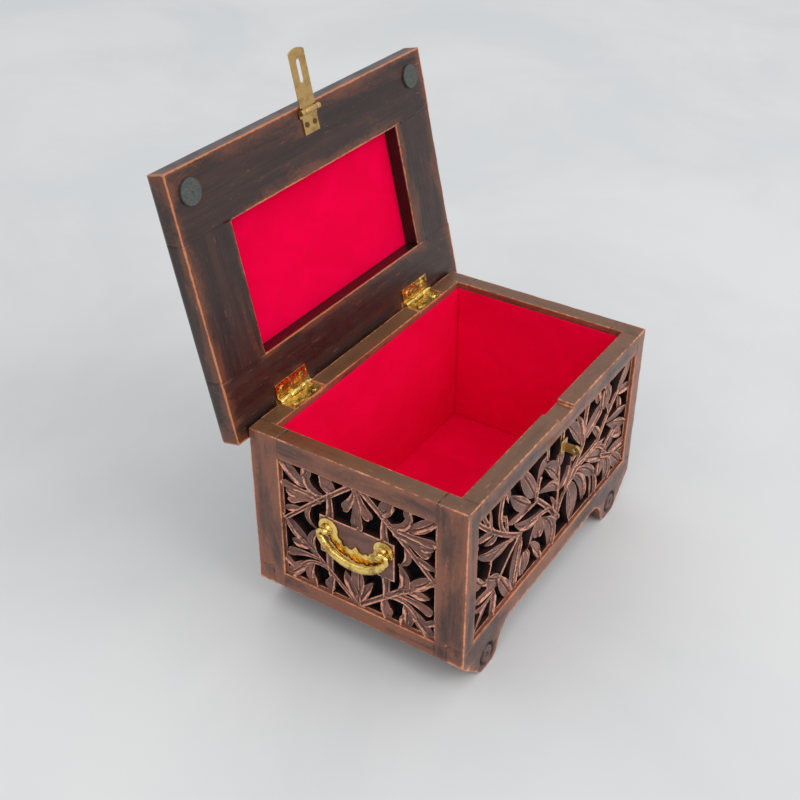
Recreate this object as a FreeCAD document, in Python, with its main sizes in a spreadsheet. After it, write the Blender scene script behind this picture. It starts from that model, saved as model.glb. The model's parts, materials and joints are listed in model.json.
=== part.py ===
import FreeCAD, Part
import math
import os

# Carved jewelry box, 10 in class.  Row frame: millimetres, +Z up, +X to the viewer's right of the front,
# the front faces -Y, and Z = 0 is the ground under the four feet.  The lid is modelled standing open.

V = FreeCAD.Vector
doc = FreeCAD.newDocument("jewelry_box")

# ---------------------------------------------------------------------------------------------
# Driving dimensions
# ---------------------------------------------------------------------------------------------
DIMENSIONS = [
    ("box_length", 254.0), ("box_width", 164.0), ("wall_height", 127.0), ("foot_height", 24.0),
    ("wall", 13.0), ("box_shift", -22.31), ("post_depth", 22.25),
    ("rail_top", 15.0), ("rail_low", 15.0), ("side_rail_top", 16.0), ("side_rail_low", 13.0),
    ("panel_thick", 6.2), ("panel_inset", 0.8), ("rebate", 4.0), ("panel_gap", 0.05),
    ("floor_thick", 3.0), ("velvet", 1.8), ("floor_velvet", 1.2), ("velvet_drop", 4.6),
    ("notch_width", 20.4), ("notch_depth", 2.6),
    ("lid_length", 274.0), ("lid_width", 181.0), ("lid_thick", 17.0), ("lid_border", 44.6),
    ("lid_gap", 2.0), ("lid_back", 8.4), ("lid_open", 102.5), ("axis_out", 0.2), ("lid_round", 5.5),
    ("recess_depth", 11.2), ("lid_velvet", 0.8), ("lid_card", 0.7), ("lid_carving", 4.0),
    ("hinge_at", 76.8), ("hinge_length", 33.0), ("leaf_width", 12.4), ("leaf_thick", 1.0),
    ("barrel_rad", 1.9), ("pin_rad", 1.0), ("pin_bore", 1.06), ("screw_at", 10.0), ("screw_in", 7.4),
    ("bumper_rad", 8.5), ("bumper_thick", 1.6), ("bumper_side", 119.9), ("bumper_out", 156.1),
    ("hasp_out", 168.6), ("hasp_barrel", 1.9), ("hasp_plate_width", 15.6), ("hasp_plate_long", 15.2),
    ("strap_width", 16.0), ("strap_long", 40.0), ("strap_thick", 0.9), ("slot_from", 17.5),
    ("slot_to", 33.0), ("slot_width", 4.2), ("barrel_long", 20.0),
    ("staple_height", 99.5), ("staple_out", 8.1), ("staple_eye", 3.4), ("staple_bore", 1.6),
    ("staple_thick", 2.4), ("block_width", 57.7), ("block_height", 30.5), ("block_up", 1.5),
    ("post_apart", 21.4), ("post_up", 7.5), ("post_rad", 2.6), ("bail_offset", 3.4),
    ("bail_drop", 23.6), ("bail_thick", 4.4), ("plate_thick", 1.0),
]
sheet = doc.addObject("Spreadsheet::Sheet", "dims")
for row, (alias, number) in enumerate(DIMENSIONS, start=1):
    sheet.set("A%d" % row, alias)
    sheet.set("B%d" % row, str(number))
    sheet.setAlias("B%d" % row, alias)
doc.recompute()


def dim(alias):
    return float(sheet.get(alias))


LENGTH = dim("box_length")
WIDTH = dim("box_width")
FOOT = dim("foot_height")
WALL = dim("wall")
RIM = FOOT + dim("wall_height")
SHIFT = dim("box_shift")
X_IN = LENGTH / 2 - WALL
Y_IN = WIDTH / 2 - WALL
Y_POST = WIDTH / 2 - dim("post_depth")
AXIS_Y = WIDTH / 2 + dim("axis_out")
EPS = dim("panel_gap")

NODES = []
BOX_PLACE = FreeCAD.Placement(V(0, SHIFT, 0), FreeCAD.Rotation())
LID_PLACE = FreeCAD.Placement(V(0, SHIFT + AXIS_Y, RIM), FreeCAD.Rotation(V(1, 0, 0), -dim("lid_open")))


# ---------------------------------------------------------------------------------------------
# Builders
# ---------------------------------------------------------------------------------------------
def bind(feature, prop, rule):
    """Binds one property to a number or to a rule written with the sheet's aliases."""
    if isinstance(rule, str):
        feature.setExpression(prop, rule)
    else:
        base, _, axis = prop.rpartition(".")
        if base == "Placement.Base":
            at = feature.Placement.Base
            setattr(at, axis, float(rule))
            feature.Placement = FreeCAD.Placement(at, feature.Placement.Rotation)
        else:
            setattr(feature, prop, float(rule))


def add_box(body, name, kind, low, size):
    """Adds or cuts a block: low corner and size, each three numbers or rules."""
    feature = doc.addObject("PartDesign::%sBox" % kind, name)
    body.addObject(feature)
    for prop, rule in zip(("Length", "Width", "Height"), size):
        bind(feature, prop, rule)
    for axis, rule in zip("xyz", low):
        bind(feature, "Placement.Base." + axis, rule)
    return feature


def add_round(body, name, kind, radius, length, at, along):
    """Adds or cuts a cylinder that starts at a point and runs along a direction."""
    feature = doc.addObject("PartDesign::%sCylinder" % kind, name)
    body.addObject(feature)
    bind(feature, "Radius", radius)
    bind(feature, "Height", length)
    feature.Placement = FreeCAD.Placement(V(*at), FreeCAD.Rotation(V(0, 0, 1), V(*along)))
    return feature


def board(name, low, size, cuts=(), place=BOX_PLACE):
    """A board as its own body: stock block, then cuts ("box", low, size) or ("round", r, len, at, dir)."""
    body = doc.addObject("PartDesign::Body", name)
    body.Label = name
    add_box(body, name + "_stock", "Additive", low, size)
    for number, cut in enumerate(cuts):
        label = "%s_cut%d" % (name, number)
        if cut[0] == "box":
            add_box(body, label, "Subtractive", cut[1], cut[2])
        else:
            add_round(body, label, "Subtractive", *cut[1:])
    body.Placement = place
    NODES.append(body)
    return body


def keep(name, shape, place=BOX_PLACE):
    """A shape made by a function, kept as a document object with its own placement."""
    feature = doc.addObject("Part::Feature", name)
    feature.Label = name
    feature.Shape = shape
    feature.Placement = place.multiply(shape.Placement)
    NODES.append(feature)
    return feature


def block(x0, x1, y0, y1, z0, z1):
    return Part.makeBox(x1 - x0, y1 - y0, z1 - z0, V(x0, y0, z0))


def rod(radius, length, at, along):
    return Part.makeCylinder(radius, length, V(*at), V(*along))


def face_of(edges):
    return Part.Face(Part.Wire(edges))


def line(a, b):
    return Part.LineSegment(a, b).toShape()


def arc(a, m, b):
    """An arc through three points, or the straight line when they are in line."""
    if (m - a).cross(b - a).Length < 1e-3:
        return line(a, b)
    return Part.Arc(a, m, b).toShape()


def joined(shapes):
    whole = shapes[0].multiFuse(shapes[1:])
    whole = whole.removeSplitter()
    return whole


# ---------------------------------------------------------------------------------------------
# Carving.  Strokes are laid out in the panel's own plane: u to the right, w up, from its centre.
# ---------------------------------------------------------------------------------------------
def stem(u0, w0, u1, w1, bend, wide0, wide1):
    """A carved stem: a tapering strip along an arc whose middle is set off by bend."""
    a, b = V(u0, w0, 0), V(u1, w1, 0)
    run = (b - a).normalize()
    side = V(-run.y, run.x, 0)
    mid = (V(u0, w0, 0) + V(u1, w1, 0)) * 0.5 + side * bend
    half0, half1 = wide0 / 2, wide1 / 2
    half = (half0 + half1) / 2
    left = arc(a + side * half0, mid + side * half, b + side * half1)
    right = arc(b - side * half1, mid - side * half, a - side * half0)
    strip = face_of([left, line(b + side * half1, b - side * half1), right,
                     line(a - side * half0, a + side * half0)])
    return [strip]


def leaf(u0, w0, u1, w1, bulge0, bulge1):
    """A leaf between its root and its tip, with one arc each side; equal signs give a curled leaf."""
    a, b = V(u0, w0, 0), V(u1, w1, 0)
    run = (b - a).normalize()
    side = V(-run.y, run.x, 0)
    mid = (V(u0, w0, 0) + V(u1, w1, 0)) * 0.5
    return [face_of([arc(a, mid + side * bulge0, b), arc(b, mid + side * bulge1, a)])]


def frond(u0, w0, u1, w1, bend, wide0, wide1):
    """A leaf that widens from its stalk to a broad round tip."""
    return stem(u0, w0, u1, w1, bend, wide0, wide1) + boss(u1, w1, wide1 / 2)


def boss(u0, w0, radius):
    return [face_of([Part.Circle(V(u0, w0, 0), V(0, 0, 1), radius).toShape()])]


def both_sides(strokes):
    """Mirrors strokes about the panel's upright centre line."""
    out = []
    for kind, *n in strokes:
        out.append((kind, *n))
        if kind == "boss":
            out.append((kind, -n[0], n[1], n[2]))
        elif kind == "leaf":
            out.append((kind, -n[0], n[1], -n[2], n[3], -n[4], -n[5]))
        else:
            out.append((kind, -n[0], n[1], -n[2], n[3], -n[4], n[5], n[6]))
    return out


END_STROKES = [
    ("stem", 2.0, 50.5, 59.5, -1.5, 0.8, 4.0, 3.0), ("stem", 1.0, -48.0, 34.0, -19.5, 0.0, 3.8, 4.4),
    ("stem", 32.0, -21.0, 60.0, 1.5, -1.6, 3.6, 3.0),
    ("leaf", 34.5, 22.0, 31.5, 0.4, 8.2, 3.6), ("leaf", 31.5, 1.4, 28.5, -24.5, 10.4, 3.2),
    ("leaf", 38.5, -15.5, 58.0, 1.0, 4.8, -3.8), ("leaf", 36.0, -15.5, 54.5, -17.5, 3.6, -2.8),
    ("leaf", 43.0, 13.5, 59.0, 8.0, 3.4, -1.2), ("frond", 29.0, 25.5, 50.5, 21.0, 1.6, 2.8, 8.8),
    ("leaf", 46.0, 22.5, 57.0, 24.6, 2.4, -2.0), ("frond", 24.0, 31.5, 55.5, 30.0, -1.6, 2.4, 5.8),
    ("leaf", 38.5, 32.5, 60.0, 50.5, 3.6, -4.8), ("leaf", 23.5, 31.0, 38.0, 50.5, -4.8, -10.4),
    ("leaf", 41.0, 39.0, 37.0, 50.8, 3.8, -3.2), ("leaf", 16.5, 36.5, 25.5, 50.8, 3.6, -6.6),
    ("boss", 24.2, 44.6, 4.2), ("frond", 1.0, 46.5, 8.4, 31.0, -0.8, 2.2, 6.8),
    ("leaf", 0.0, -46.0, 11.0, -24.6, 3.4, -3.2), ("stem", 21.4, 33.5, 21.6, 15.0, -0.8, 3.6, 6.0),
    ("stem", 21.6, -12.0, 21.4, -32.0, 0.8, 6.0, 3.8), ("frond", 31.0, -23.5, 54.0, -27.0, 1.4, 2.6, 6.4),
    ("stem", 22.0, -29.0, 46.0, -36.0, 4.8, 3.6, 3.0), ("leaf", 41.0, -31.5, 59.0, -50.5, 4.8, -4.0),
    ("leaf", 35.5, -28.5, 37.0, -50.8, 6.8, -0.8), ("leaf", 38.0, -37.0, 36.0, -50.8, 2.6, -4.2),
    ("leaf", 20.0, -32.0, 24.0, -50.8, 3.6, -3.4), ("boss", 22.8, -42.2, 4.3),
    ("leaf", 50.0, -41.0, 60.0, -33.0, 2.2, -2.0),
]
END_MIDDLE = [
    ("stem", 0.0, 51.0, 0.0, 44.0, 0.0, 10.0, 3.6), ("frond", 0.0, 46.0, 0.0, 20.4, 0.0, 3.0, 10.6),
    ("leaf", 0.0, -43.0, 0.0, -12.0, 5.4, -5.4), ("stem", 0.0, -51.0, 0.0, -40.0, 0.0, 5.0, 3.0),
]

FACE_LEFT = [
    ("stem", 3.5, -28.0, -33.0, 12.0, -1.0, 4.6, 3.6), ("stem", -33.0, 10.5, -29.0, 27.5, 1.8, 3.6, 3.0),
    ("stem", -30.5, 9.5, -52.0, 11.2, -0.4, 3.4, 1.6), ("stem", -13.0, -9.5, -58.0, -0.8, -1.4, 4.0, 4.0),
    ("stem", -55.5, -2.2, -112.0, 46.0, 2.2, 4.4, 3.0), ("leaf", -23.0, -4.0, -61.0, 9.4, 8.0, 0.4),
    ("leaf", -40.5, 12.0, -69.0, 38.5, 7.0, -3.2), ("leaf", -45.0, 13.4, -73.0, 17.4, 2.4, -2.2),
    ("leaf", -33.0, 14.5, -57.0, 51.0, 7.6, -4.6), ("frond", -32.5, 19.0, -27.6, 35.0, 0.6, 3.2, 15.4),
    ("stem", -22.0, 51.0, -20.0, 38.0, 0.0, 5.4, 4.2), ("leaf", 0.5, 8.0, -22.5, 31.5, 3.2, -8.6),
    ("leaf", 1.0, -3.0, -29.5, 13.5, -1.2, -9.6), ("leaf", 0.0, -22.0, -8.5, -2.5, 3.0, -3.2),
    ("stem", -1.0, 22.0, -0.2, -30.0, 1.0, 3.0, 4.4), ("leaf", -18.5, -14.0, -5.0, -51.0, 11.4, -1.6),
    ("leaf", -36.0, -23.0, -18.0, -48.0, 4.4, -4.2), ("leaf", -24.0, -38.0, -21.0, -51.0, 2.8, -2.6),
    ("boss", -45.4, -34.4, 9.6), ("frond", -29.0, -5.0, -25.6, -19.2, 0.5, 4.0, 12.4),
    ("leaf", -29.0, -5.2, -39.5, -28.0, 1.0, -5.6), ("leaf", -50.0, -5.0, -57.0, -51.0, -1.6, -12.0),
    ("stem", -56.5, -3.5, -80.5, -21.5, -1.2, 3.8, 4.6), ("leaf", -80.5, -19.5, -60.0, -51.0, 3.6, -6.4),
    ("leaf", -80.0, -22.0, -98.5, -8.6, 6.4, -4.6), ("leaf", -83.0, -24.6, -115.0, -20.4, 0.6, -5.0),
    ("leaf", -83.0, -25.0, -115.0, -25.6, 6.6, 0.4), ("leaf", -86.0, -26.0, -88.5, -51.0, 2.2, -4.2),
    ("leaf", -88.0, -27.0, -113.0, -51.0, -2.2, -9.0), ("leaf", -89.0, 23.0, -115.0, 31.0, -0.2, -4.6),
    ("leaf", -115.0, 32.0, -110.4, 21.0, 2.0, -1.2), ("leaf", -84.0, 19.4, -101.0, 20.6, 1.8, -2.0),
    ("leaf", -63.5, 0.4, -109.5, 17.6, 7.6, -2.6), ("stem", -63.0, 0.6, -94.0, 2.6, -1.0, 3.2, 2.8),
    ("stem", -93.0, 3.6, -97.0, -9.4, 1.2, 2.8, 3.2), ("leaf", -115.0, 6.0, -100.6, -11.6, 1.6, -6.4),
    ("stem", -93.0, 27.5, -107.6, 50.5, 0.6, 3.2, 2.6), ("leaf", -91.5, 26.0, -96.0, 51.0, 5.6, 0.8),
    ("stem", -74.5, 12.0, -81.5, 46.0, 5.4, 3.0, 4.2), ("leaf", -83.0, 43.0, -72.0, 50.8, -3.4, 2.2),
    ("leaf", -78.0, 50.8, -72.0, 35.0, 3.6, -2.8), ("stem", -74.0, 12.6, -76.8, 27.6, -0.8, 2.6, 2.2),
    ("leaf", -76.0, 24.0, -82.0, 31.4, 1.6, -1.6), ("leaf", -96.0, -11.0, -104.0, -9.6, 1.6, -1.6),
]
FACE_RIGHT = [
    ("stem", 1.5, -22.5, 25.0, -3.6, 3.4, 4.4, 4.0), ("leaf", 22.0, -3.4, 46.5, -42.5, 10.4, 1.6),
    ("leaf", 15.0, -5.6, 27.0, -51.0, 13.0, -5.0), ("leaf", 26.0, -2.5, 63.5, -30.0, 7.8, -1.8),
    ("leaf", 41.0, -1.8, 76.0, -21.0, 6.8, -2.8), ("stem", 23.5, -3.0, 61.0, -1.0, 1.8, 4.0, 3.6),
    ("stem", 58.5, -0.4, 80.0, -17.5, 1.6, 3.6, 3.6), ("leaf", 58.0, 1.2, 78.0, -4.6, 1.4, -4.2),
    ("stem", 73.0, -12.6, 87.5, -3.6, 0.6, 3.2, 2.6), ("leaf", 75.0, -17.0, 101.0, -5.4, 4.6, -4.6),
    ("stem", 73.0, -18.0, 92.0, -28.5, 0.0, 3.8, 4.2), ("leaf", 88.0, -25.5, 113.6, -50.0, 5.2, -6.6),
    ("boss", 73.0, -28.3, 7.6), ("leaf", 81.0, -23.0, 85.0, -51.0, 8.2, -3.4),
    ("leaf", 53.0, -20.0, 59.0, -51.0, 2.8, -2.4), ("leaf", 62.6, -27.4, 66.0, -51.0, 2.8, -1.8),
    ("leaf", 88.0, -23.0, 115.0, -27.4, 4.2, -3.0), ("leaf", 80.0, 5.6, 114.0, -12.4, 5.2, -3.8),
    ("leaf", 84.0, -5.0, 110.0, -17.0, 3.8, -4.2), ("leaf", 73.0, 10.4, 115.0, 2.4, 5.8, -1.6),
    ("stem", 5.0, -16.0, 27.0, 6.0, 1.0, 3.4, 3.6), ("stem", 25.6, 4.4, 37.0, 17.6, -1.4, 3.8, 3.8),
    ("stem", 36.0, 15.0, 38.5, 51.0, 1.5, 4.2, 5.2), ("stem", 26.0, 3.2, 63.0, 3.6, -1.8, 3.8, 3.6),
    ("stem", 60.0, 1.4, 89.0, 30.0, 1.0, 3.8, 4.2), ("leaf", 86.0, 27.0, 113.6, 51.0, 7.4, -5.6),
    ("leaf", 87.0, 28.6, 115.0, 22.0, 4.4, -2.2), ("boss", 70.2, 34.8, 9.4),
    ("leaf", 36.4, 17.0, 67.0, 30.6, 9.6, -1.8), ("leaf", 50.0, 21.0, 64.5, 3.6, 4.2, -2.0),
    ("leaf", 58.0, 37.0, 50.0, 51.0, 3.4, -3.6), ("leaf", 66.0, 42.0, 71.0, 51.0, 5.0, -5.4),
    ("leaf", 73.0, 27.6, 79.0, 17.4, 2.8, -3.6), ("leaf", 33.4, 16.6, 5.5, 51.0, 3.0, -7.6),
    ("leaf", 35.0, 16.0, 24.0, 46.0, 2.6, -4.2), ("leaf", 9.0, -12.0, 20.0, 14.0, 3.8, -4.2),
    ("leaf", 3.0, -4.0, 17.0, 10.0, 3.2, -2.8), ("leaf", 93.0, 24.0, 97.0, 7.0, 2.4, -3.0),
    ("stem", 20.0, 12.0, 30.0, 14.0, 0.4, 2.6, 3.0), ("leaf", 98.0, -31.0, 115.0, -36.0, 2.6, -2.6),
]
FACE_MIDDLE = [
    ("boss", 0.0, 24.0, 6.4), ("stem", 0.0, 22.0, 0.0, 51.0, 0.0, 5.0, 4.0),
]
MAKERS = {"stem": stem, "leaf": leaf, "frond": frond, "boss": boss}


def carving(strokes, wide, high, depth, rim, scale_u=1.0, scale_w=1.0, solid=None):
    """An openwork plate, wide x high, its back at third coordinate 0 and its face at depth."""
    faces = []
    for kind, *n in strokes:
        for flat in MAKERS[kind](*n):
            faces.append(flat)
    if solid:
        u0, u1, w0, w1 = solid
        faces.append(Part.makePlane(u1 - u0, w1 - w0, V(u0, w0, 0)))
    if scale_u != 1.0 or scale_w != 1.0:
        grow = FreeCAD.Matrix()
        grow.scale(scale_u, scale_w, 1.0)
        faces = [f.transformGeometry(grow) for f in faces]
    field = Part.makePlane(wide, high, V(-wide / 2, -high / 2, 0))
    inner = Part.makePlane(wide - 2 * rim, high - 2 * rim, V(rim - wide / 2, rim - high / 2, 0))
    ring = field.cut(inner)
    prisms = [f.extrude(V(0, 0, depth)) for f in faces]
    prisms = [p.common(field.extrude(V(0, 0, depth))) for p in prisms]
    prisms.append(ring.extrude(V(0, 0, depth)))
    whole = joined(prisms)
    biggest = sorted(whole.Solids, key=lambda s: s.Volume)
    for loose in biggest[:-1]:
        at = loose.CenterOfMass
        print("loose piece at", round(at.x, 1), round(at.y, 1), "volume", round(loose.Volume, 1))
    return biggest[-1], len(biggest)


def stood(shape, origin, right, outward):
    """Stands a plate up: its u runs along right, its w along +Z, its face looks along outward."""
    r, o = V(*right), V(*outward)
    up = o.cross(r)
    m = FreeCAD.Matrix(r.x, up.x, o.x, origin[0], r.y, up.y, o.y, origin[1],
                       r.z, up.z, o.z, origin[2], 0, 0, 0, 1)
    moved = shape.copy()
    moved.transformShape(m)
    return moved


# ---------------------------------------------------------------------------------------------
# Box: corner posts and rails
# ---------------------------------------------------------------------------------------------
def corner_posts():
    """Posts run from the bottom rails to the rim; each one is lapped over the bottom rail behind it."""
    low_z = FOOT + dim("rail_low")
    for fb, sy in (("front", -1), ("back", 1)):
        for lr, sx in (("left", -1), ("right", 1)):
            x0 = "-dims.box_length/2" if sx < 0 else "dims.box_length/2 - dims.wall"
            y0 = "-dims.box_width/2" if sy < 0 else "dims.box_width/2 - dims.post_depth"
            lap_y = "-dims.box_width/2" if sy < 0 else "dims.box_width/2 - dims.wall"
            lap = ("box", (x0, lap_y, "dims.foot_height"), ("dims.wall", "dims.wall", "dims.rail_low"))
            groove_depth = dim("panel_inset") + dim("panel_thick")
            groove_wide = WALL - groove_depth
            gx = -X_IN - dim("rebate") if sx < 0 else X_IN
            gy = -WIDTH / 2 + groove_depth if sy < 0 else WIDTH / 2 - WALL
            long_groove = ("box", (gx, gy, low_z - dim("rebate")),
                           ("dims.rebate", groove_wide,
                            dim("wall_height") - dim("rail_top") - dim("rail_low") + 2 * dim("rebate")))
            ex = -LENGTH / 2 + groove_depth if sx < 0 else X_IN
            ey = -Y_POST - dim("rebate") if sy < 0 else Y_POST
            end_low = FOOT + dim("side_rail_low") - dim("rebate")
            end_high = RIM - dim("side_rail_top") + dim("rebate")
            end_groove = ("box", (ex, ey, end_low), (groove_wide, "dims.rebate", end_high - end_low))
            board("corner_post_%s_%s" % (fb, lr), (x0, y0, "dims.foot_height"),
                  ("dims.wall", "dims.post_depth", "dims.wall_height"),
                  (lap, long_groove, end_groove))


def long_rebate(sy, low, high):
    inner = dim("panel_inset") + dim("panel_thick")
    y0 = -WIDTH / 2 + inner if sy < 0 else Y_IN
    return ("box", (-X_IN - dim("rebate"), y0, low), (2 * X_IN + 2 * dim("rebate"), WALL - inner, high - low))


def top_rails():
    """Front rail with the notch that clears the hasp, back rail with the two hinge mortises."""
    z0 = "dims.foot_height + dims.wall_height - dims.rail_top"
    size = ("dims.box_length - 2*dims.wall", "dims.wall", "dims.rail_top")
    x0 = "dims.wall - dims.box_length/2"
    low = RIM - dim("rail_top")
    notch = ("box", ("-dims.notch_width/2", "-dims.box_width/2 - 1",
                     "dims.foot_height + dims.wall_height - dims.notch_depth"),
             ("dims.notch_width", "dims.wall + 2", "dims.notch_depth + 1"))
    board("front_top_rail", (x0, "-dims.box_width/2", z0), size,
          (long_rebate(-1, low, low + dim("rebate")), notch))
    cuts = [long_rebate(1, low, low + dim("rebate"))]
    leaf_floor = dim("barrel_rad")
    for sx in (-1, 1):
        left = sx * dim("hinge_at") - dim("hinge_length") / 2 - 0.3
        wide = dim("hinge_length") + 0.6
        cuts.append(("box", (left, AXIS_Y - dim("leaf_width") - 0.2, RIM - leaf_floor),
                     (wide, 20.0, 10.0)))
        cuts.append(("round", "dims.barrel_rad + 0.4", wide, (left, AXIS_Y, RIM), (1, 0, 0)))
        for s in (-1, 1):
            at = (sx * dim("hinge_at") + s * dim("screw_at"), AXIS_Y - dim("screw_in"), RIM - 11.0)
            cuts.append(("round", 1.2, 11.0, at, (0, 0, 1)))
    board("back_top_rail", (x0, "dims.box_width/2 - dims.wall", z0), size, cuts)


def foot_outline(sx):
    """One bracket foot in the XZ plane: 45 degree shoulder, round lobe, hollow rise to the apron."""
    k = LENGTH / 2
    shoulder, toe, heel = 21.0, 27.0, 37.0

    def at(u, z):
        return V(sx * (u - k), 0, z)

    top = FOOT + 1.0
    return [line(at(0, top), at(0, FOOT)), line(at(0, FOOT), at(shoulder, FOOT - shoulder)),
            arc(at(shoulder, FOOT - shoulder), at(23.7, 1.0), at(toe, 0)), line(at(toe, 0), at(heel, 0)),
            arc(at(heel, 0), at(44.6, 3.6), at(47.2, 11.0)),
            arc(at(47.2, 11.0), at(52.0, 18.6), at(61.0, FOOT)),
            line(at(61.0, FOOT), at(61.0, top)), line(at(61.0, top), at(0, top))]


def roundel(x, y_face, sy):
    """The turned mark on a foot: a ring groove round a raised button with a small hole."""
    depth, outer, inner, hole = 1.8, 9.2, 6.4, 1.5
    z = 12.3
    groove = rod(outer, depth + 1, (x, y_face + sy, z), (0, -sy, 0))
    groove = groove.cut(rod(inner, depth + 1, (x, y_face + sy, z), (0, -sy, 0)))
    return [groove, rod(hole, depth + 1, (x, y_face + sy, z), (0, -sy, 0))]


def bottom_rails():
    """Full-length boards that carry the feet in one piece with the rail."""
    for name, sy in (("front_bottom_rail", -1), ("back_bottom_rail", 1)):
        y0 = -WIDTH / 2 if sy < 0 else Y_IN
        whole = block(-LENGTH / 2, LENGTH / 2, y0, y0 + WALL, FOOT, FOOT + dim("rail_low"))
        feet = []
        for sx in (1, -1):
            flat = face_of(foot_outline(sx))
            flat.translate(V(0, y0, 0))
            feet.append(flat.extrude(V(0, WALL, 0)))
        whole = joined([whole] + feet)
        face_y = sy * WIDTH / 2
        cuts = roundel(31.5 - LENGTH / 2, face_y, sy) + roundel(LENGTH / 2 - 31.5, face_y, sy)
        inner = dim("panel_inset") + dim("panel_thick")
        ry = -WIDTH / 2 + inner if sy < 0 else Y_IN
        top = FOOT + dim("rail_low")
        cuts.append(block(-X_IN - dim("rebate"), X_IN + dim("rebate"), ry, ry + WALL - inner,
                          top - dim("rebate"), top + 1))
        keep(name, whole.cut(Part.makeCompound(cuts)).removeSplitter())


def end_rails():
    """Rails of the two ends, between the corner posts; the bottom ones butt the bottom boards."""
    inner = dim("panel_inset") + dim("panel_thick")
    for lr, sx in (("left", -1), ("right", 1)):
        x0 = "-dims.box_length/2" if sx < 0 else "dims.box_length/2 - dims.wall"
        cx = -LENGTH / 2 + inner if sx < 0 else X_IN
        top_z = RIM - dim("side_rail_top")
        low_z = FOOT + dim("side_rail_low")
        wide = 2 * Y_POST
        board(lr + "_top_rail", (x0, -Y_POST, "dims.foot_height + dims.wall_height - dims.side_rail_top"),
              ("dims.wall", wide, "dims.side_rail_top"),
              (("box", (cx, -Y_POST - 1, top_z - 1), (WALL - inner, wide + 2, dim("rebate") + 1)),))
        board(lr + "_bottom_rail", (x0, -Y_POST, "dims.foot_height"),
              ("dims.wall", wide, "dims.side_rail_low"),
              (("box", (cx, -Y_POST - 1, low_z - dim("rebate")), (WALL - inner, wide + 2, 9.0)),))


# ---------------------------------------------------------------------------------------------
# Box: carved panels, backing boards, floor and velvet
# ---------------------------------------------------------------------------------------------
def face_panels():
    wide = 2 * X_IN
    low, high = FOOT + dim("rail_low"), RIM - dim("rail_top")
    strokes = FACE_LEFT + FACE_RIGHT + FACE_MIDDLE
    plate, pieces = carving(strokes, wide, high - low, dim("panel_thick"), 1.8)
    print("face carving pieces", pieces)
    mid = (low + high) / 2
    depth = WIDTH / 2 - dim("panel_inset") - dim("panel_thick")
    front = stood(plate, (0, -depth, mid), (1, 0, 0), (0, -1, 0))
    socket = rod(1.6, 5.0, (0, -WIDTH / 2, FOOT + dim("staple_height")), (0, 1, 0))
    keep("front_carved_panel", front.cut(socket))
    keep("back_carved_panel", stood(plate, (0, depth, mid), (-1, 0, 0), (0, 1, 0)))


def end_block():
    """Height of the plain block's centre above the ground."""
    low, high = FOOT + dim("side_rail_low"), RIM - dim("side_rail_top")
    return (low + high) / 2 + dim("block_up")


def end_panels():
    wide = 2 * Y_POST
    low, high = FOOT + dim("side_rail_low"), RIM - dim("side_rail_top")
    half_w, half_h = dim("block_width") / 2, dim("block_height") / 2
    up = dim("block_up")
    strokes = both_sides(END_STROKES) + END_MIDDLE
    plate, pieces = carving(strokes, wide, high - low, dim("panel_thick"), 1.6,
                            solid=(-half_w, half_w, up - half_h, up + half_h))
    print("end carving pieces", pieces)
    mid = (low + high) / 2
    depth = LENGTH / 2 - dim("panel_inset") - dim("panel_thick")
    for lr, sx in (("left", -1), ("right", 1)):
        panel = stood(plate, (sx * depth, 0, mid), (0, sx, 0), (sx, 0, 0))
        bores = handle_bores(sx, depth - 1, dim("panel_thick") + 4)
        keep(lr + "_carved_panel", panel.cut(bores))


def handle_bores(sx, start, length):
    z = end_block() + dim("post_up")
    rods = [rod(1.5, length, (sx * start, s * dim("post_apart"), z), (sx, 0, 0)) for s in (-1, 1)]
    return Part.makeCompound(rods)


def backings():
    """Black boards that close the openwork from behind, let into the rebates."""
    inner = dim("panel_inset") + dim("panel_thick")
    thick = WALL - inner
    low = FOOT + dim("rail_low") - dim("rebate")
    tall = dim("wall_height") - dim("rail_top") - dim("rail_low") + 2 * dim("rebate")
    for name, y0 in (("front_backing", -WIDTH / 2 + inner), ("back_backing", Y_IN)):
        board(name, (-X_IN - dim("rebate"), y0, low), (2 * X_IN + 2 * dim("rebate"), thick, tall))
    low = FOOT + dim("side_rail_low") - dim("rebate")
    tall = RIM - dim("side_rail_top") + dim("rebate") - low
    z = end_block() + dim("post_up")
    for lr, sx in (("left", -1), ("right", 1)):
        x0 = -LENGTH / 2 + inner if sx < 0 else X_IN
        outer = sx * (LENGTH / 2 - inner)
        holes = [("round", 1.5, 3.0, (outer, s * dim("post_apart"), z), (-sx, 0, 0)) for s in (-1, 1)]
        board(lr + "_backing", (x0, -Y_POST - dim("rebate"), low),
              (thick, 2 * Y_POST + 2 * dim("rebate"), tall), holes)


def lining():
    """Bottom board and the five velvet-covered cards."""
    board("bottom_board", ("dims.wall - dims.box_length/2", "dims.wall - dims.box_width/2", FOOT + 0.5),
          ("dims.box_length - 2*dims.wall", "dims.box_width - 2*dims.wall", "dims.floor_thick"))
    top = FOOT + 0.5 + dim("floor_thick")
    board("velvet_floor", ("dims.wall - dims.box_length/2", "dims.wall - dims.box_width/2", top),
          ("dims.box_length - 2*dims.wall", "dims.box_width - 2*dims.wall", "dims.floor_velvet"))
    z0 = top + dim("floor_velvet")
    tall = RIM - dim("velvet_drop") - z0
    for name, y0 in (("velvet_front", -Y_IN), ("velvet_back", Y_IN - dim("velvet"))):
        board(name, (-X_IN, y0, z0), (2 * X_IN, "dims.velvet", tall))
    for name, x0 in (("velvet_left", -X_IN), ("velvet_right", X_IN - dim("velvet"))):
        board(name, (x0, dim("velvet") - Y_IN, z0), ("dims.velvet", 2 * (Y_IN - dim("velvet")), tall))


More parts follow.
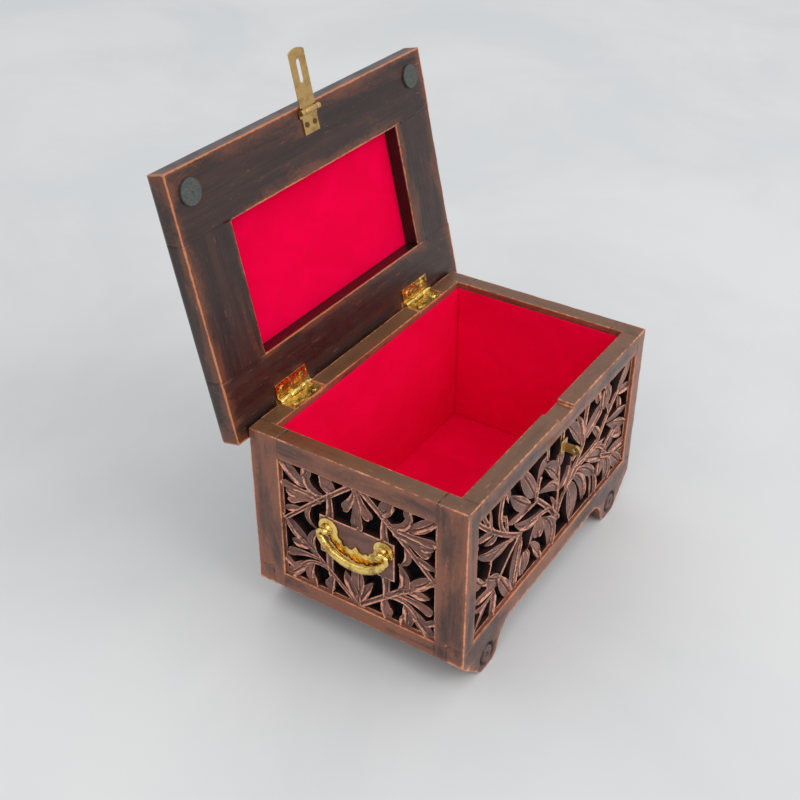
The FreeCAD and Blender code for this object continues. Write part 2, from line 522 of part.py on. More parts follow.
# ---------------------------------------------------------------------------------------------
# Hinges.  Drawn about the hinge axis: local y = 0, z = 0, box side towards -y.
# ---------------------------------------------------------------------------------------------
def leaf_shape(x_mid, z_low, spans):
    """A hinge leaf: the plate, countersunk for two screws, and its knuckles on the barrel."""
    length, thick = dim("hinge_length"), dim("leaf_thick")
    r = dim("barrel_rad")
    plate = block(x_mid - length / 2, x_mid + length / 2, -dim("leaf_width"), 0, z_low, z_low + thick)
    gap = 0.35
    clear = rod(r + gap, length + 2, (x_mid - length / 2 - 1, 0, 0), (1, 0, 0))
    others = plate.cut(clear)
    parts = [others]
    for a, b in spans:
        knuckle = rod(r, b - a, (x_mid + a, 0, 0), (1, 0, 0))
        web = block(x_mid + a, x_mid + b, -r - 1.5, 0, z_low, z_low + thick)
        parts += [knuckle, web]
    whole = joined(parts)
    whole = whole.cut(rod(dim("pin_bore"), length + 2, (x_mid - length / 2 - 1, 0, 0), (1, 0, 0)))
    for s in (-1, 1):
        x = x_mid + s * dim("screw_at")
        whole = whole.cut(rod(1.3, 4, (x, -dim("screw_in"), z_low - 1), (0, 0, 1)))
    return whole


def hinges():
    half, gap = dim("hinge_length") / 2, 0.3
    third = dim("hinge_length") / 6
    outer = ((-half, -third - gap), (third + gap, half))
    middle = ((-third, third),)
    r, t = dim("barrel_rad"), dim("leaf_thick")
    axis = FreeCAD.Placement(V(0, SHIFT + AXIS_Y, RIM), FreeCAD.Rotation())
    for lr, sx in (("left", -1), ("right", 1)):
        keep("box_hinge_leaf_" + lr, leaf_shape(sx * dim("hinge_at"), -r, outer), axis)
        keep("lid_hinge_leaf_" + lr, leaf_shape(sx * dim("hinge_at"), dim("lid_gap") - t, middle), LID_PLACE)
    pins = [rod(dim("pin_rad"), 2 * half, (sx * dim("hinge_at") - half, 0, 0), (1, 0, 0)) for sx in (-1, 1)]
    keep("hinge_pins", Part.makeCompound(pins), axis)
    keep("box_hinge_screws", hinge_screws(t - r, -1), axis)
    keep("lid_hinge_screws", hinge_screws(dim("lid_gap") - t, 1), LID_PLACE)


def hinge_screws(z_face, direction):
    """Four slotted round-head screws that go in along direction from the leaf's outer face."""
    screws = []
    for sx in (-1, 1):
        for s in (-1, 1):
            at = (sx * dim("hinge_at") + s * dim("screw_at"), -dim("screw_in"), z_face)
            shank = rod(1.15, 8.5, at, (0, 0, direction))
            head = rod(2.3, 0.75, at, (0, 0, -direction))
            head = head.makeChamfer(0.3, [e for e in head.Edges if is_far_ring(e, at, direction)])
            slot = block(at[0] - 3, at[0] + 3, at[1] - 0.3, at[1] + 0.3,
                         at[2] - direction * 0.75 - 0.35, at[2] - direction * 0.75 + 0.35)
            screws.append(joined([shank, head]).cut(slot))
    return Part.makeCompound(screws)


def is_far_ring(edge, at, direction):
    return abs(edge.BoundBox.Center.z - (at[2] - direction * 0.75)) < 1e-4 and edge.BoundBox.XLength > 2


# ---------------------------------------------------------------------------------------------
# Lid.  Drawn shut about the hinge axis: y = -v, z = w.
# ---------------------------------------------------------------------------------------------
def rounded(body, pick):
    """Rounds the edges of a body's tip that pick() chooses."""
    doc.recompute()
    tip = body.Tip
    names = ["Edge%d" % (i + 1) for i, e in enumerate(tip.Shape.Edges) if pick(e.BoundBox)]
    fillet = doc.addObject("PartDesign::Fillet", body.Name + "_round")
    body.addObject(fillet)
    fillet.Base = (tip, names)
    fillet.setExpression("Radius", "dims.lid_round")
    body.Tip = fillet
    doc.recompute()


def lid_frame():
    """Two full-length rails with the end stiles between them, all rounded along the outer top edge."""
    low = dim("lid_gap")
    top = low + dim("lid_thick")
    half_l, border = dim("lid_length") / 2, dim("lid_border")
    back_y = dim("lid_back")
    front_y = back_y - dim("lid_width")
    size = ("dims.lid_length", "dims.lid_border", "dims.lid_thick")
    cuts = []
    for sx in (-1, 1):
        left = sx * dim("hinge_at") - dim("hinge_length") / 2 - 0.3
        cuts.append(("round", "dims.barrel_rad + 0.4", dim("hinge_length") + 0.6, (left, 0, 0), (1, 0, 0)))
        for s in (-1, 1):
            at = (sx * dim("hinge_at") + s * dim("screw_at"), -dim("screw_in"), low - 1)
            cuts.append(("round", 1.15, 8.5, at, (0, 0, 1)))
    back = board("lid_back_rail", ("-dims.lid_length/2", back_y - border, "dims.lid_gap"), size, cuts, LID_PLACE)
    rivets = [("round", 0.9, 5.0, (s * 4.2, hasp_rivet_y(), low - 1), (0, 0, 1)) for s in (-1, 1)]
    hollow = ("round", "dims.hasp_barrel + 0.35", "dims.barrel_long + 1",
              (-dim("barrel_long") / 2 - 0.5, -dim("hasp_out"), hasp_axis()), (1, 0, 0))
    front = board("lid_front_rail", ("-dims.lid_length/2", front_y, "dims.lid_gap"), size,
                  rivets + [hollow], LID_PLACE)
    tall = dim("lid_width") - 2 * border
    stiles = []
    for lr, sx in (("left", -1), ("right", 1)):
        x0 = -half_l if sx < 0 else half_l - border
        stiles.append((board("lid_%s_stile" % lr, (x0, front_y + border, "dims.lid_gap"),
                             ("dims.lid_border", tall, "dims.lid_thick"), (), LID_PLACE), sx))

    def on_top(box):
        return abs(box.ZMin - top) < 1e-4 and abs(box.ZMax - top) < 1e-4

    def ends(box):
        return abs(abs(box.Center.x) - half_l) < 1e-4 and box.YLength > 5

    rounded(back, lambda b: on_top(b) and (ends(b) or abs(b.Center.y - back_y) < 1e-4))
    rounded(front, lambda b: on_top(b) and (ends(b) or abs(b.Center.y - front_y) < 1e-4))
    for stile, _ in stiles:
        rounded(stile, lambda b: on_top(b) and ends(b))


def lid_fill():
    """Carved top panel, its black card and the velvet seen in the recess."""
    border = dim("lid_border")
    wide, high = dim("lid_length") - 2 * border, dim("lid_width") - 2 * border
    mid_y = dim("lid_back") - dim("lid_width") / 2
    z = dim("lid_gap") + dim("recess_depth")
    size = (wide, high)
    board("lid_velvet", (-wide / 2, mid_y - high / 2, z), size + ("dims.lid_velvet",), (), LID_PLACE)
    z += dim("lid_velvet")
    board("lid_card", (-wide / 2, mid_y - high / 2, z), size + ("dims.lid_card",), (), LID_PLACE)
    z += dim("lid_card")
    strokes = FACE_LEFT + FACE_RIGHT + FACE_MIDDLE
    ku, kw = wide / (2 * X_IN), high / 97.0
    plate, pieces = carving(strokes, wide, high, dim("lid_carving"), 1.8, ku, kw)
    print("lid carving pieces", pieces)
    plate.translate(V(0, mid_y, z))
    keep("lid_carved_panel", plate, LID_PLACE)


def bumpers():
    for lr, sx in (("left", -1), ("right", 1)):
        at = (sx * dim("bumper_side"), -dim("bumper_out"), dim("lid_gap") - dim("bumper_thick"))
        pad = rod(dim("bumper_rad"), dim("bumper_thick"), at, (0, 0, 1))
        low_ring = [e for e in pad.Edges if abs(e.BoundBox.Center.z - at[2]) < 1e-4]
        pad = pad.makeFillet(0.6, low_ring)
        dimple = rod(0.7, 0.5, (at[0], at[1], at[2] - 0.1), (0, 0, 1))
        keep("lid_bumper_" + lr, pad.cut(dimple), LID_PLACE)


# ---------------------------------------------------------------------------------------------
# Hasp and staple
# ---------------------------------------------------------------------------------------------
def hasp_axis():
    return dim("lid_gap") - dim("hasp_barrel") - 0.35


def hasp_rivet_y():
    return -(dim("hasp_out") - dim("hasp_plate_long") / 2 - 1.4)


def hasp():
    """Plate under the lid's front edge with the outer knuckles, the pin, and the slotted strap."""
    r, half = dim("hasp_barrel"), dim("barrel_long") / 2
    y, z = -dim("hasp_out"), hasp_axis()
    t = dim("strap_thick")
    top = dim("lid_gap")
    wide = dim("hasp_plate_width") / 2
    reach = y + dim("hasp_plate_long")
    plate = block(-wide, wide, y + r + 0.45, reach, top - t, top)
    arms = []
    for s in (-1, 1):
        inner, outer = 6.3, half
        a, b = (inner, outer) if s > 0 else (-outer, -inner)
        arms.append(rod(r, outer - inner, (a, y, z), (1, 0, 0)))
        arms.append(block(a, min(b, wide) if s > 0 else b, y, y + r + 2.0, z + r - t, z + r))
        arms.append(block(max(a, -wide), min(b, wide), y + r + 0.45, y + r + 2.0, z + r - t, top))
    body = joined([plate] + arms)
    body = body.cut(rod(0.86, 2 * half + 2, (-half - 1, y, z), (1, 0, 0)))
    for s in (-1, 1):
        body = body.cut(rod(0.95, 4, (s * 4.2, hasp_rivet_y(), top - 2), (0, 0, 1)))
    keep("hasp_plate", body, LID_PLACE)
    rivets = []
    for s in (-1, 1):
        shank = rod(0.9, 4.0 + t, (s * 4.2, hasp_rivet_y(), top - t), (0, 0, 1))
        head = rod(1.8, 0.5, (s * 4.2, hasp_rivet_y(), top - t - 0.5), (0, 0, 1))
        rivets.append(joined([shank, head]))
    keep("hasp_rivets", Part.makeCompound(rivets), LID_PLACE)
    keep("hasp_pin", rod(0.8, 2 * half, (-half, y, z), (1, 0, 0)), LID_PLACE)
    keep("hasp_strap", strap(y, z, r, t), LID_PLACE)


def strap(y, z, r, t):
    """The hinged strap lying out past the lid's front edge: knuckle, long slot, arched end."""
    half = dim("strap_width") / 2
    end = dim("strap_long")
    arch = 2.2
    flat = face_of([line(V(-half, y, 0), V(half, y, 0)), line(V(half, y, 0), V(half, y - end + arch, 0)),
                    arc(V(half, y - end + arch, 0), V(0, y - end, 0), V(-half, y - end + arch, 0)),
                    line(V(-half, y - end + arch, 0), V(-half, y, 0))])
    plate = flat.extrude(V(0, 0, t))
    plate.translate(V(0, 0, z + r - t))
    knuckle_half = 6.0
    whole = joined([plate, rod(r, 2 * knuckle_half, (-knuckle_half, y, z), (1, 0, 0))])
    for s in (-1, 1):
        a, b = (knuckle_half, half + 1) if s > 0 else (-half - 1, -knuckle_half)
        whole = whole.cut(block(a, b, y - r - 0.5, y + r + 1, z - r - 1, z + r + 1))
    slot_half = dim("slot_width") / 2
    a, b = y - dim("slot_from") - slot_half, y - dim("slot_to") + slot_half
    slot = block(-slot_half, slot_half, b, a, z, z + r + 1)
    slot = joined([slot, rod(slot_half, r + 1, (0, a, z), (0, 0, 1)), rod(slot_half, r + 1, (0, b, z), (0, 0, 1))])
    whole = whole.cut(slot)
    whole = whole.cut(rod(0.86, 2 * half, (-half, y, z), (1, 0, 0)))
    return whole


def staple():
    """A brass eye that stands out from the front, thin across the box so the strap's slot drops over it."""
    z = FOOT + dim("staple_height")
    face = -WIDTH / 2 + dim("panel_inset")
    t = dim("staple_thick") / 2
    y_eye = -WIDTH / 2 - dim("staple_out")
    base = block(-4.2, 4.2, face - 1.1, face, z - 5.2, z + 5.2)
    base = base.makeFillet(0.8, [e for e in base.Edges if e.BoundBox.YLength < 1e-6 and abs(e.BoundBox.Center.y - face + 1.1) < 1e-4])
    neck = block(-t, t, y_eye, face, z - 2.9, z + 2.9)
    eye = rod(dim("staple_eye"), 2 * t, (-t, y_eye, z), (1, 0, 0))
    tang = rod(1.6, 4.2, (0, face, z), (0, 1, 0))
    whole = joined([base, neck, eye, tang])
    whole = whole.cut(rod(dim("staple_bore"), 4 * t, (-2 * t, y_eye, z), (1, 0, 0)))
    keep("staple", whole)


# ---------------------------------------------------------------------------------------------
# Handles: drawn for an end that faces +u... each is stood on its own end of the box
# ---------------------------------------------------------------------------------------------
def plate_outline():
    """Half of the handle's back plate is drawn and mirrored: round lobes, hollow steps, centre peak."""
    lobe_r = 7.4
    a, up = dim("post_apart"), dim("post_up")
    lobes = [face_of([Part.Circle(V(s * a, up, 0), V(0, 0, 1), lobe_r).toShape()]) for s in (-1, 1)]
    half = [(0.0, 1.6), (2.6, -2.0), (5.2, -2.6), (7.6, -1.0), (9.6, -2.0), (11.2, 1.2), (13.4, 2.6), (14.6, 6.0)]
    low = [(21.0, -3.4), (15.0, -8.6), (8.0, -11.4), (0.0, -12.6)]
    points = half + [(22.0, 6.0)] + low
    ring = [V(u, w, 0) for u, w in points] + [V(-u, w, 0) for u, w in reversed(points[1:-1])]
    band = Part.Face(Part.makePolygon(ring + [ring[0]]))
    return joined([f.extrude(V(0, 0, dim("plate_thick"))) for f in lobes + [band]])


def bail_shape():
    """The swinging bail about its own axis: u across, w down, thick through; pins point inwards."""
    arm0, arm1, straight = 24.6, 28.2, 4.0
    drop, thick = dim("bail_drop"), dim("bail_thick")
    rise = 15.8
    outer = [line(V(-arm0, 0, 0), V(-arm1, 0, 0)), line(V(-arm1, 0, 0), V(-arm1, -straight, 0)),
             arc(V(-arm1, -straight, 0), V(0, -drop, 0), V(arm1, -straight, 0)),
             line(V(arm1, -straight, 0), V(arm1, 0, 0)), line(V(arm1, 0, 0), V(arm0, 0, 0)),
             line(V(arm0, 0, 0), V(arm0, -straight, 0)),
             arc(V(arm0, -straight, 0), V(0, -rise, 0), V(-arm0, -straight, 0)),
             line(V(-arm0, -straight, 0), V(-arm0, 0, 0))]
    grip = face_of(outer).extrude(V(0, 0, thick))
    grip.translate(V(0, 0, -thick / 2))
    rings = [e for e in grip.Edges if e.BoundBox.ZLength < 1e-6 and e.BoundBox.XLength > 20]
    grip = grip.makeFillet(1.5, rings)
    ends = []
    for s in (-1, 1):
        a = arm0 if s > 0 else -arm1
        ends.append(rod(thick / 2, arm1 - arm0, (a, 0, 0), (1, 0, 0)))
        pin_a = arm0 - 5.4 if s > 0 else -arm0
        ends.append(rod(1.2, 5.4, (pin_a, 0, 0), (1, 0, 0)))
    return joined([grip] + ends)


def handle_posts():
    """Two turned posts with cross bores; shanks run back through the plate and the block."""
    posts = []
    for s in (-1, 1):
        u = s * dim("post_apart")
        t = dim("plate_thick")
        stub = rod(dim("post_rad"), dim("bail_offset") + 1.2, (u, 0, t), (0, 0, 1))
        tip = Part.makeSphere(dim("post_rad"), V(u, 0, t + dim("bail_offset") + 1.2 - 0.6))
        shank = rod(1.45, 9.0 + t, (u, 0, t - 9.0 - t), (0, 0, 1))
        body = joined([stub, tip, shank])
        posts.append(body.cut(rod(1.26, 8, (u - 4, 0, t + dim("bail_offset")), (1, 0, 0))))
    return Part.makeCompound(posts)


def handles():
    face = LENGTH / 2 - dim("panel_inset")
    z = end_block()
    plate = plate_outline()
    for s in (-1, 1):
        plate = plate.cut(rod(1.5, 4, (s * dim("post_apart"), dim("post_up"), -1), (0, 0, 1)))
    lift = dim("plate_thick") + dim("bail_offset")
    for lr, sx in (("left", -1), ("right", 1)):
        right, out = (0, sx, 0), (sx, 0, 0)
        keep(lr + "_handle_plate", stood(plate, (sx * face, 0, z), right, out))
        high = z + dim("post_up")
        keep(lr + "_handle_posts", stood(handle_posts(), (sx * face, 0, high), right, out))
        keep(lr + "_bail", stood(bail_shape(), (sx * (face + lift), 0, high), right, out))


# ---------------------------------------------------------------------------------------------
# Build, check and write
# ---------------------------------------------------------------------------------------------
corner_posts()
top_rails()
bottom_rails()
end_rails()
face_panels()
end_panels()
backings()
lining()
hinges()
lid_frame()
lid_fill()
bumpers()
hasp()
staple()
handles()
doc.recompute()

problems = []
for thing in doc.Objects:
    if "Invalid" in thing.State or "Error" in thing.State:
        problems.append(thing.Name)
for node in NODES:
    if node.Shape.isNull() or not node.Shape.isValid():
        problems.append(node.Label)
    if len(node.Label) >= 60:
        problems.append(node.Label)
if problems:
    raise RuntimeError("not sound: " + ", ".join(problems))

os.makedirs("parts", exist_ok=True)
whole = FreeCAD.BoundBox()
for node in NODES:
    node.Shape.exportStep(os.path.join("parts", node.Label + ".step"))
    whole.add(node.Shape.BoundBox)
print(len(NODES), "nodes; box", [round(n, 2) for n in (whole.XMin, whole.XMax, whole.YMin, whole.YMax, whole.ZMin, whole.ZMax)])
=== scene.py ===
import json
import math
import bpy
import bmesh
import numpy as np
from mathutils import Matrix, Vector
from mathutils.bvhtree import BVHTree
from mathutils.kdtree import KDTree


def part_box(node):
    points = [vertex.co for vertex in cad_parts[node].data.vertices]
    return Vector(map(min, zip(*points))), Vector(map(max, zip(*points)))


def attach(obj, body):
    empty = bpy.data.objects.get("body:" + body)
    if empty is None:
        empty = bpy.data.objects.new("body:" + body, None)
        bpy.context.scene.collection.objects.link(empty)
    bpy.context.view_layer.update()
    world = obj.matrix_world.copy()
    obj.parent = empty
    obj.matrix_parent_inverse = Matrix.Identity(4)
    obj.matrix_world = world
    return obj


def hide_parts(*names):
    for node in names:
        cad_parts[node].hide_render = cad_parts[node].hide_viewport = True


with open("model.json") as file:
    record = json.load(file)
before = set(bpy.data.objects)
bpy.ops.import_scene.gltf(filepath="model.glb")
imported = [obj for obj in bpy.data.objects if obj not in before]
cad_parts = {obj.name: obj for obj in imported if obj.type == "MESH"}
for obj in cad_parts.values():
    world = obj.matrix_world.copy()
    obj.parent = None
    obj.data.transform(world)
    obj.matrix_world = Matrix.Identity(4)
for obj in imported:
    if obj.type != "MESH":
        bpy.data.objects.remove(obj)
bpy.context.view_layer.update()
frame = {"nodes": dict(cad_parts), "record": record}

MM = 0.001
scene = bpy.context.scene
NODES = frame["nodes"]
JOINTS = {j["name"]: j for j in frame["record"]["behaviour"]["joints"]}
WELD_GAP = 2e-6
RELIEF = 6.2    # the panel thickness, in millimetres, that the carved heights are drawn for


# ------------------------------------------------------------
# Places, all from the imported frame
# ------------------------------------------------------------
def corners(node):
    low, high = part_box(node)
    return Vector(low), Vector(high)


POST_LOW, POST_HIGH = corners("corner_post_front_left")
BACK_HIGH = corners("corner_post_back_right")[1]
BODY_MID_Y = (POST_LOW.y + BACK_HIGH.y) / 2
RIM_Z = POST_HIGH.z
FOOT_Z = POST_LOW.z
LID_AXIS = Vector(JOINTS["lid_hinge"]["pos_m"])
LID_OPEN = math.radians(JOINTS["lid_hinge"]["range_deg"][1])
LID_FRAME = Matrix.Translation(LID_AXIS) @ Matrix.Rotation(-LID_OPEN, 4, "X")
IDENTITY = Matrix.Identity(4)
CAMERA_AZIMUTH = math.radians(-57.04)
CAMERA_ELEVATION = math.radians(34.03)
CAMERA_DISTANCE, CAMERA_SLIDE, CAMERA_DROP = 0.8996, 0.04063, -0.08832
SENSOR = 36.0
LENS = 1.515 * SENSOR
FLOOR_HALF = 6.0
ROUNDEL_FROM_END = 0.0315
ROUNDEL_HEIGHT = 0.0123
ROUNDEL_RADIUS = 0.0098


def as_mesh(bm, name, material):
    """Turns an edit mesh into a mesh of one material."""
    mesh = bpy.data.meshes.new(name)
    bm.to_mesh(mesh)
    bm.free()
    mesh.materials.append(material)
    return mesh


def shown(mesh, name):
    piece = bpy.data.objects.new(name, mesh)
    scene.collection.objects.link(piece)
    return piece


def claim(piece, body, node):
    """Puts a piece on its body, in place of its CAD node."""
    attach(piece, body)
    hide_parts(node)


# ------------------------------------------------------------
# Camera, floor and lights
# ------------------------------------------------------------
def add_camera():
    flat = math.cos(CAMERA_ELEVATION)
    back = Vector((math.sin(CAMERA_AZIMUTH) * flat, -math.cos(CAMERA_AZIMUTH) * flat,
                   math.sin(CAMERA_ELEVATION)))
    right = (-back).cross(Vector((0, 0, 1))).normalized()
    up = right.cross(-back)
    target = Vector((0, BODY_MID_Y, FOOT_Z))
    place = target + back * CAMERA_DISTANCE - right * CAMERA_SLIDE - up * CAMERA_DROP
    data = bpy.data.cameras.new("camera")
    data.sensor_width = SENSOR
    data.lens = LENS
    data.clip_start = 0.02
    data.clip_end = 50.0
    camera = bpy.data.objects.new("camera", data)
    camera.matrix_world = Matrix.Translation(place) @ Matrix((right, up, back)).transposed().to_4x4()
    scene.collection.objects.link(camera)
    scene.camera = camera


def area_light(name, place, target, size, power, colour):
    data = bpy.data.lights.new(name, "AREA")
    data.shape = "RECTANGLE"
    data.size, data.size_y = size
    data.energy = power
    data.color = colour
    light = bpy.data.objects.new(name, data)
    aim = (Vector(target) - Vector(place)).to_track_quat("-Z", "Y")
    light.matrix_world = Matrix.Translation(Vector(place)) @ aim.to_matrix().to_4x4()
    scene.collection.objects.link(light)


def add_lights():
    """A world that is darker at the horizon than overhead, and two soft lamps."""
    first_colour, second_colour, colour_out = 6, 7, 2
    world = bpy.data.worlds.new("studio")
    scene.world = world
    world.use_nodes = True
    nodes, links = world.node_tree.nodes, world.node_tree.links
    split = nodes.new("ShaderNodeSeparateXYZ")
    ramp = nodes.new("ShaderNodeMapRange")
    shade = nodes.new("ShaderNodeMix")
    shade.data_type = "RGBA"
    links.new(nodes.new("ShaderNodeTexCoord").outputs["Generated"], split.inputs["Vector"])
    links.new(split.outputs["Z"], ramp.inputs["Value"])
    ramp.inputs["From Min"].default_value = 0.0
    ramp.inputs["From Max"].default_value = 0.75
    links.new(ramp.outputs["Result"], shade.inputs["Factor"])
    shade.inputs[first_colour].default_value = (0.50, 0.51, 0.53, 1)
    shade.inputs[second_colour].default_value = (1.13, 1.14, 1.15, 1)
    links.new(shade.outputs[colour_out], nodes["Background"].inputs["Color"])
    nodes["Background"].inputs["Strength"].default_value = 0.85
    middle = (0, 0, 0.1)
    area_light("key", (0.1, -2.9, 2.1), middle, (2.6, 2.0), 44.0, (1.0, 0.985, 0.965))
    area_light("side", (-2.8, -0.9, 1.9), middle, (2.0, 1.6), 14.0, (1.0, 0.97, 0.94))


def add_floor(material):
    bm = bmesh.new()
    signs = ((-1, -1), (1, -1), (1, 1), (-1, 1))
    bm.faces.new([bm.verts.new((x * FLOOR_HALF, y * FLOOR_HALF, 0)) for x, y in signs])
    shown(as_mesh(bm, "floor", material), "floor")


# ------------------------------------------------------------
# Materials
# ------------------------------------------------------------
class Shader:
    """A short hand for building one node material."""

    def __init__(self, name):
        self.material = bpy.data.materials.new(name)
        self.material.use_nodes = True
        self.nodes = self.material.node_tree.nodes
        self.links = self.material.node_tree.links
        self.out = self.nodes["Principled BSDF"]

    def set(self, **values):
        for key, value in values.items():
            self.out.inputs[key.replace("_", " ")].default_value = value
        return self

    def link(self, a, b):
        self.links.new(a, b)

    def attribute(self, name, vector=False):
        node = self.nodes.new("ShaderNodeAttribute")
        node.attribute_name = name
        return node.outputs["Vector"] if vector else node.outputs["Fac"]

    def place(self):
        node = self.nodes.new("ShaderNodeTexCoord")
        return node.outputs["Object"]

    def stretch(self, vector, scale):
        node = self.nodes.new("ShaderNodeMapping")
        node.inputs["Scale"].default_value = scale
        self.link(vector, node.inputs["Vector"])
        return node.outputs["Vector"]

    def noise(self, vector, scale, detail=4.0, rough=0.55, distort=0.0):
        node = self.nodes.new("ShaderNodeTexNoise")
        node.inputs["Scale"].default_value = scale
        node.inputs["Detail"].default_value = detail
        node.inputs["Roughness"].default_value = rough
        node.inputs["Distortion"].default_value = distort
        self.link(vector, node.inputs["Vector"])
        return node.outputs["Fac"]

    def remap(self, value, low, high, to_low=0.0, to_high=1.0):
        node = self.nodes.new("ShaderNodeMapRange")
        node.interpolation_type = "SMOOTHSTEP"
        node.inputs["From Min"].default_value = low
        node.inputs["From Max"].default_value = high
        node.inputs["To Min"].default_value = to_low
        node.inputs["To Max"].default_value = to_high
        self.link(value, node.inputs["Value"])
        return node.outputs["Result"]

    def math(self, kind, a, b):
        node = self.nodes.new("ShaderNodeMath")
        node.operation = kind
        for slot, value in zip(node.inputs, (a, b)):
            if isinstance(value, (int, float)):
                slot.default_value = value
            else:
                self.link(value, slot)
        return node.outputs["Value"]

    def mix(self, factor, a, b):
        node = self.nodes.new("ShaderNodeMix")
        node.data_type = "RGBA"
        self.link(factor, node.inputs["Factor"])
        for key, value in (("A", a), ("B", b)):
            socket = [s for s in node.inputs if s.name == key and s.type == "RGBA"][0]
            if isinstance(value, tuple):
                socket.default_value = (*value, 1.0)
            else:
                self.link(value, socket)
        return [s for s in node.outputs if s.type == "RGBA"][0]

    def bump(self, height, strength, distance, normal=None):
        node = self.nodes.new("ShaderNodeBump")
        node.inputs["Strength"].default_value = strength
        node.inputs["Distance"].default_value = distance
        self.link(height, node.inputs["Height"])
        if normal is not None:
            self.link(normal, node.inputs["Normal"])
        return node.outputs["Normal"]

    def finish(self, colour=None, roughness=None, normal=None):
        for key, value in (("Base Color", colour), ("Roughness", roughness), ("Normal", normal)):
            if value is not None:
                self.link(value, self.out.inputs[key])
        return self.material


def wood(name, dark, light, rubbed, worn, top, rough_low, rough_high, streak=0.5, rub_from=0.62):
    """Stained hardwood: fibres along the board, coppery wood round its edges and bare where it is rubbed,
    and painted shade darkening it towards near black in grooves, hollows and recess walls.
    """
    s = Shader(name)
    at = s.attribute("grain", vector=True)
    fibres = s.noise(s.stretch(at, (26.0, 800.0, 800.0)), 1.0, 5.0, 0.62)
    bands = s.noise(s.stretch(at, (8.0, 120.0, 120.0)), 1.0, 3.0, 0.5, 0.6)
    blotch = s.noise(s.stretch(at, (16.0, 60.0, 60.0)), 1.0, 5.0, 0.66, 0.5)
    mottle = s.noise(at, 420.0, 4.0, 0.6)
    grain = s.math("ADD", s.math("MULTIPLY", fibres, 0.5), s.math("MULTIPLY", bands, 0.5))
    colour = s.mix(s.remap(grain, 0.36, 0.66), dark, light)
    near = s.math("ADD", s.math("MULTIPLY", s.attribute("rub"), 0.42), s.math("MULTIPLY", blotch, 0.9))
    near = s.math("ADD", near, s.math("MULTIPLY", mottle, 0.22))
    colour = s.mix(s.remap(near, rub_from, rub_from + 0.28, 0.0, 0.85), colour, rubbed)
    colour = s.mix(s.math("MULTIPLY", s.attribute("top"), 0.72), colour, top)
    bare = s.math("ADD", s.attribute("wear"), s.math("MULTIPLY", s.noise(at, 260.0, 4.0, 0.65), 0.9))
    bare = s.remap(bare, 0.92, 1.3)
    scuffs = s.remap(s.noise(s.stretch(at, (70.0, 420.0, 420.0)), 1.0, 3.0, 0.7), 0.62, 0.78, 0.0, streak)
    colour = s.mix(s.math("MAXIMUM", bare, scuffs), colour, worn)
    # painted shade: the colour is pulled towards near black by the shade mask (roundel grooves, the lid's
    # recess walls, carved hollows and carved walls)
    colour = s.mix(s.attribute("painted_shade"), colour, (0.010, 0.005, 0.006))
    roughness = s.remap(s.noise(at, 95.0, 3.0, 0.6), 0.3, 0.75, rough_low, rough_high)
    normal = s.bump(s.remap(fibres, 0.28, 0.52), 0.28, 0.0002)
    normal = s.bump(s.noise(at, 70.0, 3.0, 0.5), 0.2, 0.0005, normal)
    return s.finish(colour, roughness, normal)


def velvet(name, colour_a, colour_b):
    s = Shader(name)
    at = s.place()
    pile = s.noise(at, 2600.0, 2.0, 0.7)
    brushed = s.noise(s.stretch(at, (1.0, 1.0, 1.4)), 26.0, 3.0, 0.55, 0.8)
    colour = s.mix(s.remap(brushed, 0.35, 0.68, 0.0, 0.6), colour_a, colour_b)
    colour = s.mix(s.remap(pile, 0.3, 0.75, 0.0, 0.35), colour, colour_b)
    normal = s.bump(pile, 0.5, 0.0004)
    s.set(Roughness=0.95, Sheen_Weight=0.25, Sheen_Roughness=0.5, Sheen_Tint=(1.0, 0.02, 0.06, 1.0),
          Specular_IOR_Level=0.02)
    return s.finish(colour, None, normal)


def brass(name, bright, dull, rough_low, rough_high, tarnish_from, cast=0.12):
    s = Shader(name)
    at = s.place()
    cloud = s.noise(at, 120.0, 4.0, 0.6)
    fine = s.noise(at, 900.0, 3.0, 0.7)
    colour = s.mix(s.remap(cloud, tarnish_from, tarnish_from + 0.22), bright, dull)
    roughness = s.remap(s.math("ADD", s.math("MULTIPLY", cloud, 0.6), s.math("MULTIPLY", fine, 0.4)),
                        0.3, 0.7, rough_low, rough_high)
    scratches = s.noise(s.stretch(at, (300.0, 2400.0, 900.0)), 1.0, 2.0, 0.6)
    normal = s.bump(scratches, 0.12, 0.0002)
    normal = s.bump(s.noise(at, 210.0, 2.0, 0.5), cast, 0.0012, normal)
    s.set(Metallic=1.0)
    return s.finish(colour, roughness, normal)


def plain(name, colour_a, colour_b, scale, roughness, bump, shine=0.5):
    s = Shader(name)
    at = s.place()
    grain = s.noise(at, scale, 4.0, 0.6)
    colour = s.mix(s.remap(grain, 0.35, 0.7), colour_a, colour_b)
    s.set(Roughness=roughness, Specular_IOR_Level=shine)
    return s.finish(colour, None, s.bump(grain, bump, 0.0003))


def floor_paint():
    s = Shader("floor_paint")
    at = s.place()
    cloud = s.noise(at, 2.6, 5.0, 0.6, 0.5)
    colour = s.mix(s.remap(cloud, 0.36, 0.66), (0.630, 0.645, 0.658), (0.688, 0.692, 0.695))
    s.set(Roughness=0.75, Specular_IOR_Level=0.2)
    return s.finish(colour, None, s.bump(s.noise(at, 40.0, 3.0, 0.5), 0.05, 0.001))


